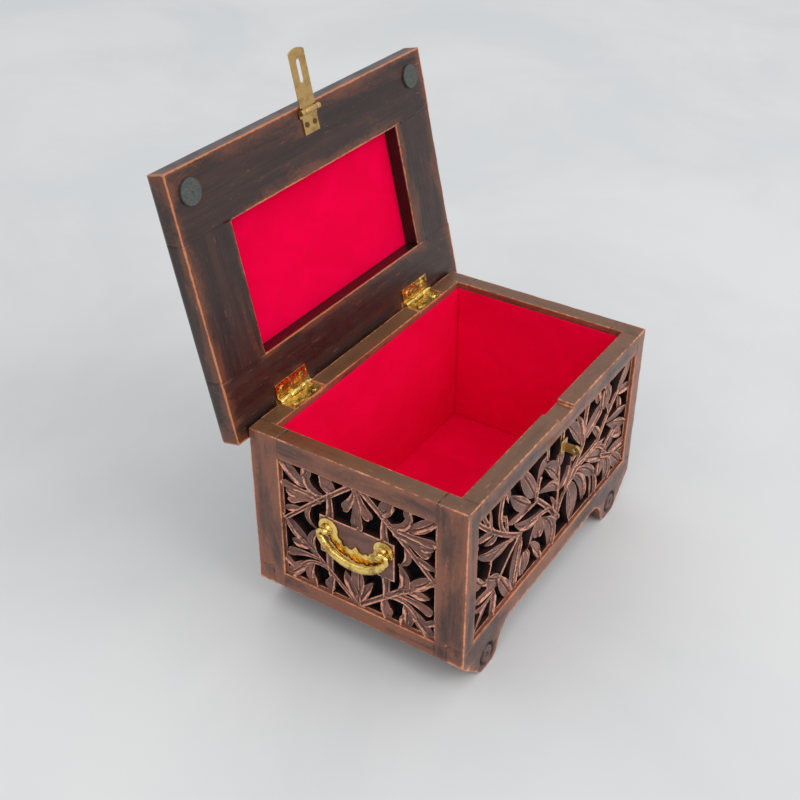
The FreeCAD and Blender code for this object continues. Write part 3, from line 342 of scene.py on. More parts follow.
OLIVE = (0.120, 0.054, 0.018)
WOOD = wood("frame_wood", (0.040, 0.015, 0.010), (0.120, 0.047, 0.032), (0.270, 0.092, 0.048),
            (0.68, 0.27, 0.135), OLIVE, 0.26, 0.44, 0.4, 0.68)
LID_WOOD = wood("lid_wood", (0.016, 0.006, 0.005), (0.046, 0.018, 0.012), (0.150, 0.046, 0.022),
                (0.54, 0.19, 0.08), OLIVE, 0.26, 0.42, 0.4, 0.74)
CARVED_WOOD = wood("carved_wood", (0.080, 0.029, 0.022), (0.175, 0.072, 0.052), (0.280, 0.110, 0.078),
                   (0.76, 0.34, 0.22), OLIVE, 0.32, 0.5, 0.25)
BLACK = plain("black_board", (0.003, 0.002, 0.003), (0.007, 0.005, 0.006), 300.0, 0.95, 0.3, 0.08)
UNDER = plain("bottom_wood", (0.05, 0.03, 0.022), (0.10, 0.06, 0.045), 90.0, 0.8, 0.3)
VELVET = velvet("red_velvet", (0.82, 0.0, 0.045), (0.95, 0.0, 0.063))
BRASS = brass("polished_brass", (0.92, 0.66, 0.20), (0.40, 0.235, 0.06), 0.10, 0.24, 0.44, 0.85)
SATIN = brass("satin_brass", (0.60, 0.40, 0.155), (0.42, 0.25, 0.095), 0.32, 0.5, 0.46)
MARKS = brass("pressed_brass", (0.16, 0.10, 0.04), (0.08, 0.05, 0.02), 0.5, 0.7, 0.5)
RUBBER = plain("grey_rubber", (0.045, 0.054, 0.050), (0.080, 0.092, 0.084), 700.0, 0.6, 0.4)


# ------------------------------------------------------------
# Boards: each one is rebuilt from its CAD solid with eased edges and a fine skin that carries wear and
# painted shade
# ------------------------------------------------------------
def welded(node, local):
    """The CAD node's solid in its own board frame, with its flat faces made whole."""
    bm = bmesh.new()
    bm.from_mesh(NODES[node].data)
    bmesh.ops.transform(bm, matrix=local.inverted(), verts=bm.verts)
    bmesh.ops.remove_doubles(bm, verts=bm.verts, dist=WELD_GAP)
    bmesh.ops.dissolve_limit(bm, angle_limit=math.radians(0.6), verts=bm.verts, edges=bm.edges)
    return bm


def sharp_edges(bm, degrees):
    return [e for e in bm.edges if len(e.link_faces) == 2 and e.calc_face_angle(0) > math.radians(degrees)]


def node_box(node, local):
    inv = local.inverted()
    pts = np.array([inv @ v.co for v in NODES[node].data.vertices])
    return pts.min(0), pts.max(0)


def slice_up(bm, spacing, near):
    """Cuts the skin into a fine grid, with one extra ring close to every board edge."""
    for axis in range(3):
        values = sorted({round(v.co[axis], 5) for v in bm.verts})
        low, high = values[0], values[-1]
        cuts = list(np.arange(low + spacing, high - spacing * 0.5, spacing))
        for flat in (low, high):
            cuts += [flat + near, flat - near]
        normal = Vector([1.0 if k == axis else 0.0 for k in range(3)])
        for c in cuts:
            if low + 1e-5 < c < high - 1e-5:
                geom = bm.verts[:] + bm.edges[:] + bm.faces[:]
                bmesh.ops.bisect_plane(bm, geom=geom, dist=1e-6, plane_co=normal * c, plane_no=normal)


def in_solid(tree, p):
    """True where p lies in the closed solid of the tree."""
    hits, at, way = 0, Vector(p), Vector((0.31, 0.52, 0.79)).normalized()
    while hits < 40:
        found = tree.ray_cast(at, way)
        if found[0] is None:
            break
        hits += 1
        at = found[0] + way * 1e-6
    return hits % 2 == 1


def neighbour_trees(names, node, local):
    low, high = node_box(node, local)
    trees = []
    for other in names:
        a, b = node_box(other, local)
        if other != node and all(a[k] < high[k] + 0.001 and b[k] > low[k] - 0.001 for k in range(3)):
            bm = bmesh.new()
            bm.from_mesh(NODES[other].data)
            bmesh.ops.transform(bm, matrix=local.inverted(), verts=bm.verts)
            trees.append((BVHTree.FromBMesh(bm), a, b))
            bm.free()
    return trees


def covered(trees, p):
    for tree, a, b in trees:
        if all(a[k] < p[k] < b[k] for k in range(3)) and in_solid(tree, p):
            return True
    return False


def open_edges(bm, trees):
    """The sharp edges that stand free: no neighbouring board carries on past them."""
    step, found = 0.0004, []
    bm.normal_update()
    for e in sharp_edges(bm, 35):
        n1, n2 = e.link_faces[0].normal, e.link_faces[1].normal
        mid = (e.verts[0].co + e.verts[1].co) / 2
        if not covered(trees, mid + n1 * step - n2 * step / 2):
            if not covered(trees, mid + n2 * step - n1 * step / 2):
                found.append(e)
    return found


def waviness(p, seed):
    """A slow hand-made unevenness from 0 to 1."""
    a = math.sin(p.x * 31 + seed) + math.sin(p.y * 37 + seed * 2.1) + math.sin(p.z * 41 + seed * 0.7)
    b = math.sin((p.x + p.y) * 83 + seed * 1.3) + math.sin((p.z - p.x) * 71 + seed * 3.1)
    return 0.5 + (a + 0.6 * b) / 8.6


def edge_tree(edges):
    points = []
    for e in edges:
        a, b = e.verts[0].co, e.verts[1].co
        count = max(1, int((b - a).length / 0.0015))
        points += [a.lerp(b, i / count) for i in range(count + 1)]
    tree = KDTree(max(1, len(points)))
    for i, p in enumerate(points):
        tree.insert(p, i)
    tree.balance()
    return tree if points else None


BOARD_COUNT = [0]


def roundel_spots(node):
    """Where a foot's turned roundel sits: centres in x and z, and the face of its rail."""
    if "bottom_rail" not in node or node.split("_")[0] not in ("front", "back"):
        return []
    low, high = corners(node)
    face = low.y if node.startswith("front") else high.y
    spread = (high.x - low.x) / 2 - ROUNDEL_FROM_END
    return [Vector((s * spread, face, ROUNDEL_HEIGHT)) for s in (-1, 1)]


def in_roundel(p, spots):
    return any(math.hypot(p.x - c.x, p.z - c.z) < ROUNDEL_RADIUS for c in spots)


def board(node, body, material, along, names, local=IDENTITY, ease=0.0006, wear=1.0, rim=None,
          middle=None):
    """Rebuilds one CAD board: eased free edges, slight unevenness, grain along one axis."""
    BOARD_COUNT[0] += 1
    shift = Vector((BOARD_COUNT[0] * 0.63, BOARD_COUNT[0] * 0.19, BOARD_COUNT[0] * 0.39))
    bm = welded(node, local)
    slice_up(bm, spacing=0.0058, near=0.0018)
    spots = roundel_spots(node)
    free = open_edges(bm, neighbour_trees(names, node, local))
    free = [e for e in free if not in_roundel((e.verts[0].co + e.verts[1].co) / 2, spots)]
    tree = edge_tree(free)
    bmesh.ops.bevel(bm, geom=free, offset=ease, segments=2, profile=0.5, affect="EDGES", clamp_overlap=True)
    bmesh.ops.triangulate(bm, faces=[f for f in bm.faces if len(f.verts) > 4])
    layers = {key: bm.verts.layers.float.new(key) for key in ("wear", "rub", "top", "painted_shade")}
    grain_layer = bm.verts.layers.float_vector.new("grain")
    order = [along] + [k for k in range(3) if k != along]
    bm.normal_update()
    moves = []
    for v in bm.verts:
        distance = tree.find(v.co)[2] if tree else 1.0
        near = max(0.0, 1.0 - distance / 0.0024)
        v[layers["wear"]] = wear * near * (0.5 + 0.6 * waviness(v.co * 2.3, 5.0))
        v[layers["rub"]] = math.exp(-distance / 0.011) * (0.6 + 0.8 * waviness(v.co * 1.3, 2.0))
        # painted shade: the roundel's sunk groove is darkened fully, and wear there is kept low
        if in_roundel(v.co, spots):
            sunk = abs(v.co.y - spots[0].y)
            v[layers["painted_shade"]] = 1.0 if sunk > 0.0003 else 0.0
            v[layers["wear"]] = 0.0 if sunk > 0.0006 else 0.22
            near = 0.0
        # painted shade on the lid frame's inner walls, the faces that look towards the middle of the recess
        if middle is not None and abs(v.normal.z) < 0.5 and v.normal.dot(middle - v.co) > 0:
            v[layers["painted_shade"]] = 0.62
            v[layers["rub"]] = 0.0
        v[layers["top"]] = 1.0 if rim is not None and v.normal.z > 0.7 and v.co.z > rim - 0.004 else 0.0
        v[grain_layer] = Vector([v.co[k] for k in order]) + shift
        chips = max(0.0, waviness(v.co * 6.0, 9.0) - 0.5)
        moves.append(v.normal * -(0.00014 * waviness(v.co, 1.0) + 0.0009 * near * chips))
    for v, move in zip(bm.verts, moves):
        v.co += move
    bmesh.ops.transform(bm, matrix=local, verts=bm.verts)
    mesh = as_mesh(bm, node + "_board", material)
    mesh.shade_smooth()
    mesh.set_sharp_from_angle(angle=math.radians(38))
    claim(shown(mesh, node + "_board"), body, node)


def box_boards():
    names = ["corner_post_front_left", "corner_post_front_right", "corner_post_back_left",
             "corner_post_back_right", "front_top_rail", "front_bottom_rail", "back_top_rail",
             "back_bottom_rail", "left_top_rail", "left_bottom_rail", "right_top_rail", "right_bottom_rail"]
    axes = {"corner": 2, "front": 0, "back": 0, "left": 1, "right": 1}
    for name in names:
        board(name, "box", WOOD, axes[name.split("_")[0]], names, rim=RIM_Z)


def lid_boards():
    names = ["lid_back_rail", "lid_front_rail", "lid_left_stile", "lid_right_stile"]
    # the middle of the lid's recess, from which the frame's inner walls get painted shade
    low, high = node_box("lid_velvet", LID_FRAME)
    middle = Vector((low + high) / 2)
    for name in names:
        along = 0 if "rail" in name else 1
        board(name, "lid", LID_WOOD, along, names, local=LID_FRAME, ease=0.0011, wear=1.35, middle=middle)


# ------------------------------------------------------------
# Carving.  Strokes in millimetres from the panel's centre: u to the right, w up.
# stem and frond: u, w of both ends, bend, first and last width.
# leaf: u, w of both ends, two bulges.  boss: u, w, radius.
# ------------------------------------------------------------
END_STROKES = [
    ("stem", 2.0, 50.5, 59.5, -1.5, 0.8, 4.0, 3.0), ("stem", 1.0, -48.0, 34.0, -19.5, 0.0, 3.8, 4.4),
    ("stem", 32.0, -21.0, 60.0, 1.5, -1.6, 3.6, 3.0),
    ("leaf", 34.5, 22.0, 31.5, 0.4, 8.2, 3.6), ("leaf", 31.5, 1.4, 28.5, -24.5, 10.4, 3.2),
    ("leaf", 38.5, -15.5, 58.0, 1.0, 4.8, -3.8), ("leaf", 36.0, -15.5, 54.5, -17.5, 3.6, -2.8),
    ("leaf", 43.0, 13.5, 59.0, 8.0, 3.4, -1.2), ("frond", 29.0, 25.5, 50.5, 21.0, 1.6, 2.8, 8.8),
    ("leaf", 46.0, 22.5, 57.0, 24.6, 2.4, -2.0), ("frond", 24.0, 31.5, 55.5, 30.0, -1.6, 2.4, 5.8),
    ("leaf", 38.5, 32.5, 60.0, 50.5, 3.6, -4.8), ("leaf", 23.5, 31.0, 38.0, 50.5, -4.8, -10.4),
    ("leaf", 41.0, 39.0, 37.0, 50.8, 3.8, -3.2), ("leaf", 16.5, 36.5, 25.5, 50.8, 3.6, -6.6),
    ("boss", 24.2, 44.6, 4.2), ("frond", 1.0, 46.5, 8.4, 31.0, -0.8, 2.2, 6.8),
    ("leaf", 0.0, -46.0, 11.0, -24.6, 3.4, -3.2), ("stem", 21.4, 33.5, 21.6, 15.0, -0.8, 3.6, 6.0),
    ("stem", 21.6, -12.0, 21.4, -32.0, 0.8, 6.0, 3.8), ("frond", 31.0, -23.5, 54.0, -27.0, 1.4, 2.6, 6.4),
    ("stem", 22.0, -29.0, 46.0, -36.0, 4.8, 3.6, 3.0), ("leaf", 41.0, -31.5, 59.0, -50.5, 4.8, -4.0),
    ("leaf", 35.5, -28.5, 37.0, -50.8, 6.8, -0.8), ("leaf", 38.0, -37.0, 36.0, -50.8, 2.6, -4.2),
    ("leaf", 20.0, -32.0, 24.0, -50.8, 3.6, -3.4), ("boss", 22.8, -42.2, 4.3),
    ("leaf", 50.0, -41.0, 60.0, -33.0, 2.2, -2.0),
]
END_MIDDLE = [
    ("stem", 0.0, 51.0, 0.0, 44.0, 0.0, 10.0, 3.6), ("frond", 0.0, 46.0, 0.0, 20.4, 0.0, 3.0, 10.6),
    ("leaf", 0.0, -43.0, 0.0, -12.0, 5.4, -5.4), ("stem", 0.0, -51.0, 0.0, -40.0, 0.0, 5.0, 3.0),
]

FACE_LEFT = [
    ("stem", 3.5, -28.0, -33.0, 12.0, -1.0, 4.6, 3.6), ("stem", -33.0, 10.5, -29.0, 27.5, 1.8, 3.6, 3.0),
    ("stem", -30.5, 9.5, -52.0, 11.2, -0.4, 3.4, 1.6), ("stem", -13.0, -9.5, -58.0, -0.8, -1.4, 4.0, 4.0),
    ("stem", -55.5, -2.2, -112.0, 46.0, 2.2, 4.4, 3.0), ("leaf", -23.0, -4.0, -61.0, 9.4, 8.0, 0.4),
    ("leaf", -40.5, 12.0, -69.0, 38.5, 7.0, -3.2), ("leaf", -45.0, 13.4, -73.0, 17.4, 2.4, -2.2),
    ("leaf", -33.0, 14.5, -57.0, 51.0, 7.6, -4.6), ("frond", -32.5, 19.0, -27.6, 35.0, 0.6, 3.2, 15.4),
    ("stem", -22.0, 51.0, -20.0, 38.0, 0.0, 5.4, 4.2), ("leaf", 0.5, 8.0, -22.5, 31.5, 3.2, -8.6),
    ("leaf", 1.0, -3.0, -29.5, 13.5, -1.2, -9.6), ("leaf", 0.0, -22.0, -8.5, -2.5, 3.0, -3.2),
    ("stem", -1.0, 22.0, -0.2, -30.0, 1.0, 3.0, 4.4), ("leaf", -18.5, -14.0, -5.0, -51.0, 11.4, -1.6),
    ("leaf", -36.0, -23.0, -18.0, -48.0, 4.4, -4.2), ("leaf", -24.0, -38.0, -21.0, -51.0, 2.8, -2.6),
    ("boss", -45.4, -34.4, 9.6), ("frond", -29.0, -5.0, -25.6, -19.2, 0.5, 4.0, 12.4),
    ("leaf", -29.0, -5.2, -39.5, -28.0, 1.0, -5.6), ("leaf", -50.0, -5.0, -57.0, -51.0, -1.6, -12.0),
    ("stem", -56.5, -3.5, -80.5, -21.5, -1.2, 3.8, 4.6), ("leaf", -80.5, -19.5, -60.0, -51.0, 3.6, -6.4),
    ("leaf", -80.0, -22.0, -98.5, -8.6, 6.4, -4.6), ("leaf", -83.0, -24.6, -115.0, -20.4, 0.6, -5.0),
    ("leaf", -83.0, -25.0, -115.0, -25.6, 6.6, 0.4), ("leaf", -86.0, -26.0, -88.5, -51.0, 2.2, -4.2),
    ("leaf", -88.0, -27.0, -113.0, -51.0, -2.2, -9.0), ("leaf", -89.0, 23.0, -115.0, 31.0, -0.2, -4.6),
    ("leaf", -115.0, 32.0, -110.4, 21.0, 2.0, -1.2), ("leaf", -84.0, 19.4, -101.0, 20.6, 1.8, -2.0),
    ("leaf", -63.5, 0.4, -109.5, 17.6, 7.6, -2.6), ("stem", -63.0, 0.6, -94.0, 2.6, -1.0, 3.2, 2.8),
    ("stem", -93.0, 3.6, -97.0, -9.4, 1.2, 2.8, 3.2), ("leaf", -115.0, 6.0, -100.6, -11.6, 1.6, -6.4),
    ("stem", -93.0, 27.5, -107.6, 50.5, 0.6, 3.2, 2.6), ("leaf", -91.5, 26.0, -96.0, 51.0, 5.6, 0.8),
    ("stem", -74.5, 12.0, -81.5, 46.0, 5.4, 3.0, 4.2), ("leaf", -83.0, 43.0, -72.0, 50.8, -3.4, 2.2),
    ("leaf", -78.0, 50.8, -72.0, 35.0, 3.6, -2.8), ("stem", -74.0, 12.6, -76.8, 27.6, -0.8, 2.6, 2.2),
    ("leaf", -76.0, 24.0, -82.0, 31.4, 1.6, -1.6), ("leaf", -96.0, -11.0, -104.0, -9.6, 1.6, -1.6),
]
FACE_RIGHT = [
    ("stem", 1.5, -22.5, 25.0, -3.6, 3.4, 4.4, 4.0), ("leaf", 22.0, -3.4, 46.5, -42.5, 10.4, 1.6),
    ("leaf", 15.0, -5.6, 27.0, -51.0, 13.0, -5.0), ("leaf", 26.0, -2.5, 63.5, -30.0, 7.8, -1.8),
    ("leaf", 41.0, -1.8, 76.0, -21.0, 6.8, -2.8), ("stem", 23.5, -3.0, 61.0, -1.0, 1.8, 4.0, 3.6),
    ("stem", 58.5, -0.4, 80.0, -17.5, 1.6, 3.6, 3.6), ("leaf", 58.0, 1.2, 78.0, -4.6, 1.4, -4.2),
    ("stem", 73.0, -12.6, 87.5, -3.6, 0.6, 3.2, 2.6), ("leaf", 75.0, -17.0, 101.0, -5.4, 4.6, -4.6),
    ("stem", 73.0, -18.0, 92.0, -28.5, 0.0, 3.8, 4.2), ("leaf", 88.0, -25.5, 113.6, -50.0, 5.2, -6.6),
    ("boss", 73.0, -28.3, 7.6), ("leaf", 81.0, -23.0, 85.0, -51.0, 8.2, -3.4),
    ("leaf", 53.0, -20.0, 59.0, -51.0, 2.8, -2.4), ("leaf", 62.6, -27.4, 66.0, -51.0, 2.8, -1.8),
    ("leaf", 88.0, -23.0, 115.0, -27.4, 4.2, -3.0), ("leaf", 80.0, 5.6, 114.0, -12.4, 5.2, -3.8),
    ("leaf", 84.0, -5.0, 110.0, -17.0, 3.8, -4.2), ("leaf", 73.0, 10.4, 115.0, 2.4, 5.8, -1.6),
    ("stem", 5.0, -16.0, 27.0, 6.0, 1.0, 3.4, 3.6), ("stem", 25.6, 4.4, 37.0, 17.6, -1.4, 3.8, 3.8),
    ("stem", 36.0, 15.0, 38.5, 51.0, 1.5, 4.2, 5.2), ("stem", 26.0, 3.2, 63.0, 3.6, -1.8, 3.8, 3.6),
    ("stem", 60.0, 1.4, 89.0, 30.0, 1.0, 3.8, 4.2), ("leaf", 86.0, 27.0, 113.6, 51.0, 7.4, -5.6),
    ("leaf", 87.0, 28.6, 115.0, 22.0, 4.4, -2.2), ("boss", 70.2, 34.8, 9.4),
    ("leaf", 36.4, 17.0, 67.0, 30.6, 9.6, -1.8), ("leaf", 50.0, 21.0, 64.5, 3.6, 4.2, -2.0),
    ("leaf", 58.0, 37.0, 50.0, 51.0, 3.4, -3.6), ("leaf", 66.0, 42.0, 71.0, 51.0, 5.0, -5.4),
    ("leaf", 73.0, 27.6, 79.0, 17.4, 2.8, -3.6), ("leaf", 33.4, 16.6, 5.5, 51.0, 3.0, -7.6),
    ("leaf", 35.0, 16.0, 24.0, 46.0, 2.6, -4.2), ("leaf", 9.0, -12.0, 20.0, 14.0, 3.8, -4.2),
    ("leaf", 3.0, -4.0, 17.0, 10.0, 3.2, -2.8), ("leaf", 93.0, 24.0, 97.0, 7.0, 2.4, -3.0),
    ("stem", 20.0, 12.0, 30.0, 14.0, 0.4, 2.6, 3.0), ("leaf", 98.0, -31.0, 115.0, -36.0, 2.6, -2.6),
]
FACE_MIDDLE = [
    ("boss", 0.0, 24.0, 6.4), ("stem", 0.0, 22.0, 0.0, 51.0, 0.0, 5.0, 4.0),
]


def mirrored(strokes):
    out = []
    for kind, *n in strokes:
        out.append((kind, *n))
        if kind == "boss":
            out.append((kind, -n[0], n[1], n[2]))
        elif kind == "leaf":
            out.append((kind, -n[0], n[1], -n[2], n[3], -n[4], -n[5]))
        else:
            out.append((kind, -n[0], n[1], -n[2], n[3], -n[4], n[5], n[6]))
    return out


def spine(u0, w0, u1, w1, bend, count=22):
    """Points along the arc from a to b whose middle is set off sideways by bend."""
    t = np.linspace(0, 1, count)
    run = np.array([u1 - u0, w1 - w0])
    side = np.array([-run[1], run[0]]) / np.hypot(*run)
    line = np.array([u0, w0]) + t[:, None] * run
    return line + side * (bend * 4 * t * (1 - t))[:, None]


def along_spine(points, U, W):
    """For each grid point: how far along the spine, how far off it, and on which side."""
    best = np.full(U.shape, 1e9)
    where = np.zeros(U.shape)
    side = np.zeros(U.shape)
    count = len(points) - 1
    for i in range(count):
        a, b = points[i], points[i + 1]
        d = b - a
        k = np.clip(((U - a[0]) * d[0] + (W - a[1]) * d[1]) / (d @ d), 0, 1)
        gu, gw = U - (a[0] + k * d[0]), W - (a[1] + k * d[1])
        gap = np.hypot(gu, gw)
        closer = gap < best
        best = np.where(closer, gap, best)
        where = np.where(closer, (i + k) / count, where)
        side = np.where(closer, np.sign(d[0] * gw - d[1] * gu), side)
    return where, best, side


def ridge(x, centre, width):
    return np.exp(-((x - centre) / width) ** 2)


def boss_height(n, U, W):
    gap = np.hypot(U - n[0], W - n[1])
    q = gap / n[2]
    if n[2] < 6.0:
        return n[2] - gap, 6.0 - 1.3 * q * q
    chord = np.sqrt(np.maximum(n[2] ** 2 - (W - n[1]) ** 2, 0.3))
    seams = ridge(np.abs((U - n[0]) / chord), 0.4, 0.11) + ridge(np.abs((U - n[0]) / chord), 0.82, 0.08)
    return n[2] - gap, 6.1 - 1.5 * q ** 2.2 - 0.85 * seams


def strip_height(kind, n, number, U, W):
    """A stem, or a frond that widens to a round tip: raised edges with a channel, or with veins."""
    points = spine(*n[:4], n[4])
    where, gap, side = along_spine(points, U, W)
    half = (n[5] + (n[6] - n[5]) * where) / 2
    q = side * np.clip(gap / np.maximum(half, 0.1), 0, 1.4)
    wide = np.clip((half - 2.2) / 1.6, 0, 1) if kind == "frond" else 0 * half
    narrow = 5.25 - 1.0 * ridge(q, 0.1, 0.32) + 0.3 * ridge(q, -0.72, 0.2) - 0.25 * q
    lean = 1.0 if number % 2 else -1.0
    veins = ridge(q, 0.0, 0.09) + ridge(q, 0.42, 0.09) + ridge(q, -0.42, 0.09)
    broad = 4.3 + 1.1 * where + lean * q - 1.0 * (1 - q * q) * 0.9 + 0.35 * veins
    return half - gap, narrow + (broad - narrow) * wide


def leaf_height(n, number, U, W):
    """A leaf scooped between two raised edges, lifted in the middle, with one deep vein off centre."""
    bend, swell = (n[4] + n[5]) / 2, abs(n[4] - n[5]) / 2
    points = spine(*n[:4], bend)
    where, gap, side = along_spine(points, U, W)
    half = swell * np.clip(4 * where * (1 - where), 0, 1) ** 0.8
    half = np.maximum(half, 0.9 * (1 - where) ** 2)
    q = side * np.clip(gap / np.maximum(half, 0.3), 0, 1.4)
    way = 1.0 if number % 2 else -1.0
    size = np.clip(half / 2.6, 0.3, 1.25)
    lift = 3.7 + 1.8 * np.sin(math.pi * np.clip(where * 0.9 + 0.08, 0, 1))
    scoop = 1.35 * size * (1 - np.abs(q - 0.25 * way) ** 1.7)
    groove = 0.95 * size * ridge(q, 0.22 * way, 0.1)
    height = lift + way * 1.25 * q * size + 0.55 * size - 0.75 * scoop - groove
    return half - gap, height


def stroke_height(kind, n, number, U, W):
    """Inside distance and carved height of one stroke over the grid points, in millimetres."""
    if kind == "boss":
        return boss_height(n, U, W)
    if kind == "leaf":
        return leaf_height(n, number, U, W)
    return strip_height(kind, n, number, U, W)


def blurred(field, times):
    for _ in range(times):
        padded = np.pad(field, 1, mode="edge")
        field = (padded[:-2, 1:-1] + padded[2:, 1:-1] + padded[1:-1, :-2] + padded[1:-1, 2:] +
                 4 * field) / 8
    return field


def carved_field(strokes, wide, high, step, thick, rim, solid=None, scale_u=1.0, scale_w=1.0):
    """Grid coordinates, inside distance and height of a whole carved panel."""
    nu, nw = int(round(wide / step)), int(round(high / step))
    us = np.linspace(-wide / 2, wide / 2, nu + 1)
    ws = np.linspace(-high / 2, high / 2, nw + 1)
    us = np.concatenate([[us[0] - step], us, [us[-1] + step]])
    ws = np.concatenate([[ws[0] - step], ws, [ws[-1] + step]])
    U, W = np.meshgrid(us, ws)
    inside = np.full(U.shape, -3.0)
    height = np.full(U.shape, 4.0)
    weight = np.full(U.shape, -3.0)
    for number, (kind, *n) in enumerate(strokes):
        reach = 14.0
        if kind == "boss":
            cu, cw, du, dw = n[0], n[1], n[2] + 3, n[2] + 3
        else:
            cu, cw = (n[0] + n[2]) / 2, (n[1] + n[3]) / 2
            du, dw = abs(n[0] - n[2]) / 2 + reach, abs(n[1] - n[3]) / 2 + reach
        iu = np.where((us / scale_u > cu - du) & (us / scale_u < cu + du))[0]
        iw = np.where((ws / scale_w > cw - dw) & (ws / scale_w < cw + dw))[0]
        if not len(iu) or not len(iw):
            continue
        part = (slice(iw[0], iw[-1] + 1), slice(iu[0], iu[-1] + 1))
        d, h = stroke_height(kind, n, number, U[part] / scale_u, W[part] / scale_w)
        seen = d > -0.9
        over = seen & ((h > height[part]) | (weight[part] < -0.9) | (d > weight[part] + 2.5))
        near = seen & (inside[part] <= 0) & (d > inside[part])
        height[part] = np.where((over & (d > 0)) | near, h, height[part])
        weight[part] = np.maximum(weight[part], d)
        inside[part] = np.maximum(inside[part], d)
    edge = np.minimum(wide / 2 - np.abs(U), high / 2 - np.abs(W))
    ring = rim - edge
    on_ring = ring > inside
    height = np.where((ring > 0) & (height < 4.6), 4.6, height)
    inside = np.where(on_ring, ring, inside)
    if solid:
        u0, u1, w0, w1 = solid
        block = np.minimum(np.minimum(U - u0, u1 - U), np.minimum(W - w0, w1 - W))
        height = np.where(block > -0.3, 5.9 - 0.35 * np.clip(0.7 - block, 0, 1), height)
        inside = np.maximum(inside, block)
    inside = np.minimum(inside, edge)
    height = np.clip(height, 2.4, 6.1) * (thick / RELIEF)
    return us, ws, inside, height, thick


def carved_mesh(name, us, ws, inside, height, thick, place, seed):
    """Meshes the field: carved face, upright walls down to the back, and a flat back, with painted shade in
    the hollows, down the walls and on the back.
    """
    smooth = blurred(height, 5)
    crest = np.clip((height - smooth) / 0.16, 0, 1)
    lip = np.clip(1 - inside / 0.75, 0, 1) * np.clip((height - 3.2 * thick / RELIEF) / 1.4, 0.25, 1)
    # painted shade: carved hollows below the blurred surface and the low ground are darkened
    hollow_shade = np.clip((smooth - height) / 0.3, 0, 1) * 0.55
    low_shade = np.clip((4.3 * thick / RELIEF - height) / 1.5, 0, 0.4)
    hollow_shade = np.maximum(hollow_shade, low_shade)
    wear = np.maximum(crest * 0.8, lip * 0.7)
    index = -np.ones(inside.shape, int)
    pts, att = [], []

    def add(u, w, h, worn, dark):
        pts.append((u, w, h))
        att.append((worn, dark))
        return len(pts) - 1

    held = inside > 1e-7
    for r, c in zip(*np.where(held)):
        index[r, c] = add(us[c], ws[r], height[r, c], wear[r, c], hollow_shade[r, c])
    crossing = {}

    def cross(r0, c0, r1, c1):
        key = (r0, c0, r1, c1) if (r0, c0) < (r1, c1) else (r1, c1, r0, c0)
        if key not in crossing:
            a, b = inside[r0, c0], inside[r1, c1]
            k = float(np.clip(a / (a - b), 0.03, 0.97))
            h = height[r0, c0] if held[r0, c0] else height[r1, c1]
            worn = 0.75 * float(np.clip((h - 3.2 * thick / RELIEF) / 1.4, 0.2, 1))
            crossing[key] = add(us[c0] + k * (us[c1] - us[c0]), ws[r0] + k * (ws[r1] - ws[r0]), h, worn, 0.0)
        return crossing[key]

    faces, border = [], []
    ring = ((0, 0), (0, 1), (1, 1), (1, 0))
    some = held[:-1, :-1] | held[1:, :-1] | held[:-1, 1:] | held[1:, 1:]
    for r, c in zip(*np.where(some)):
        corner = [(r + dr, c + dc) for dr, dc in ring]
        loop, cuts = [], []
        for k in range(4):
            a, b = corner[k], corner[(k + 1) % 4]
            if held[a]:
                loop.append(index[a])
            if held[a] != held[b]:
                loop.append(cross(*a, *b))
                cuts.append((len(loop) - 1, held[a]))
        faces.append(loop)
        for position, leaving in cuts:
            if leaving:
                border.append((loop[position], loop[(position + 1) % len(loop)]))
    count = len(pts)
    top = np.array(pts)
    back = top.copy()
    back[:, 2] = 0.0
    on_edge = sorted({i for pair in border for i in pair})
    shade = {i: 2 * count + k for k, i in enumerate(on_edge)}
    lower = top[on_edge].copy()
    lower[:, 2] -= 0.55 * thick / RELIEF
    coords = np.concatenate([top, back, lower]) * MM
    polys = [tuple(f) for f in faces]
    polys += [tuple(i + count for i in reversed(f)) for f in faces]
    polys += [(b, a, shade[a], shade[b]) for a, b in border]
    polys += [(shade[b], shade[a], a + count, b + count) for a, b in border]
    mesh = bpy.data.meshes.new(name)
    mesh.from_pydata([tuple(place @ Vector(p)) for p in coords], [], polys)
    worn = np.array([a[0] for a in att])
    dark = np.array([a[1] for a in att])
    flat = np.zeros(count)
    ring = np.zeros(len(on_edge))
    rub = 0.35 + 0.25 * np.sin(top[:, 0] * 0.09 + seed) * np.sin(top[:, 1] * 0.1 + seed)
    # painted shade: the upright walls darken towards the back (0.72 at their lower ring) and the back is
    # fully dark
    values = {"wear": (worn, flat, ring), "painted_shade": (dark, flat + 1.0, ring + 0.72),
              "rub": (rub, flat, ring), "top": (flat, flat, ring)}
    for key, parts in values.items():
        layer = mesh.attributes.new(key, "FLOAT", "POINT")
        layer.data.foreach_set("value", np.concatenate(parts))
    layer = mesh.attributes.new("grain", "FLOAT_VECTOR", "POINT")
    layer.data.foreach_set("vector", (coords + seed * 0.31).ravel())
    mesh.update()
    mesh.shade_smooth()
    mesh.set_sharp_from_angle(angle=math.radians(44))
    mesh.materials.append(CARVED_WOOD)
    return mesh


def carved_panel(node, body, field, place, seed):
    mesh = carved_mesh(node + "_carving", *field, place, seed)
    claim(shown(mesh, node + "_carving"), body, node)


def facing(centre, right, out, back_offset=0.0):
    """The frame of a panel: u along right, w upwards, height along out; its origin on the panel's back."""
    r, o = Vector(right), Vector(out)
    up = o.cross(r)
    m = Matrix((r, up, o)).transposed().to_4x4()
    return Matrix.Translation(Vector(centre) + o * back_offset) @ m


def panel_frame(node, right, out):
    low, high = corners(node)
    centre = (low + high) / 2
    o = Vector(out)
    half = abs((high - low).dot(o)) / 2
    return facing(centre, right, out, -half), (high - low)


FACE_HIGH = 97.0
HANDLE_BLOCK = (-28.85, 28.85, 1.5 - 15.25, 1.5 + 15.25)


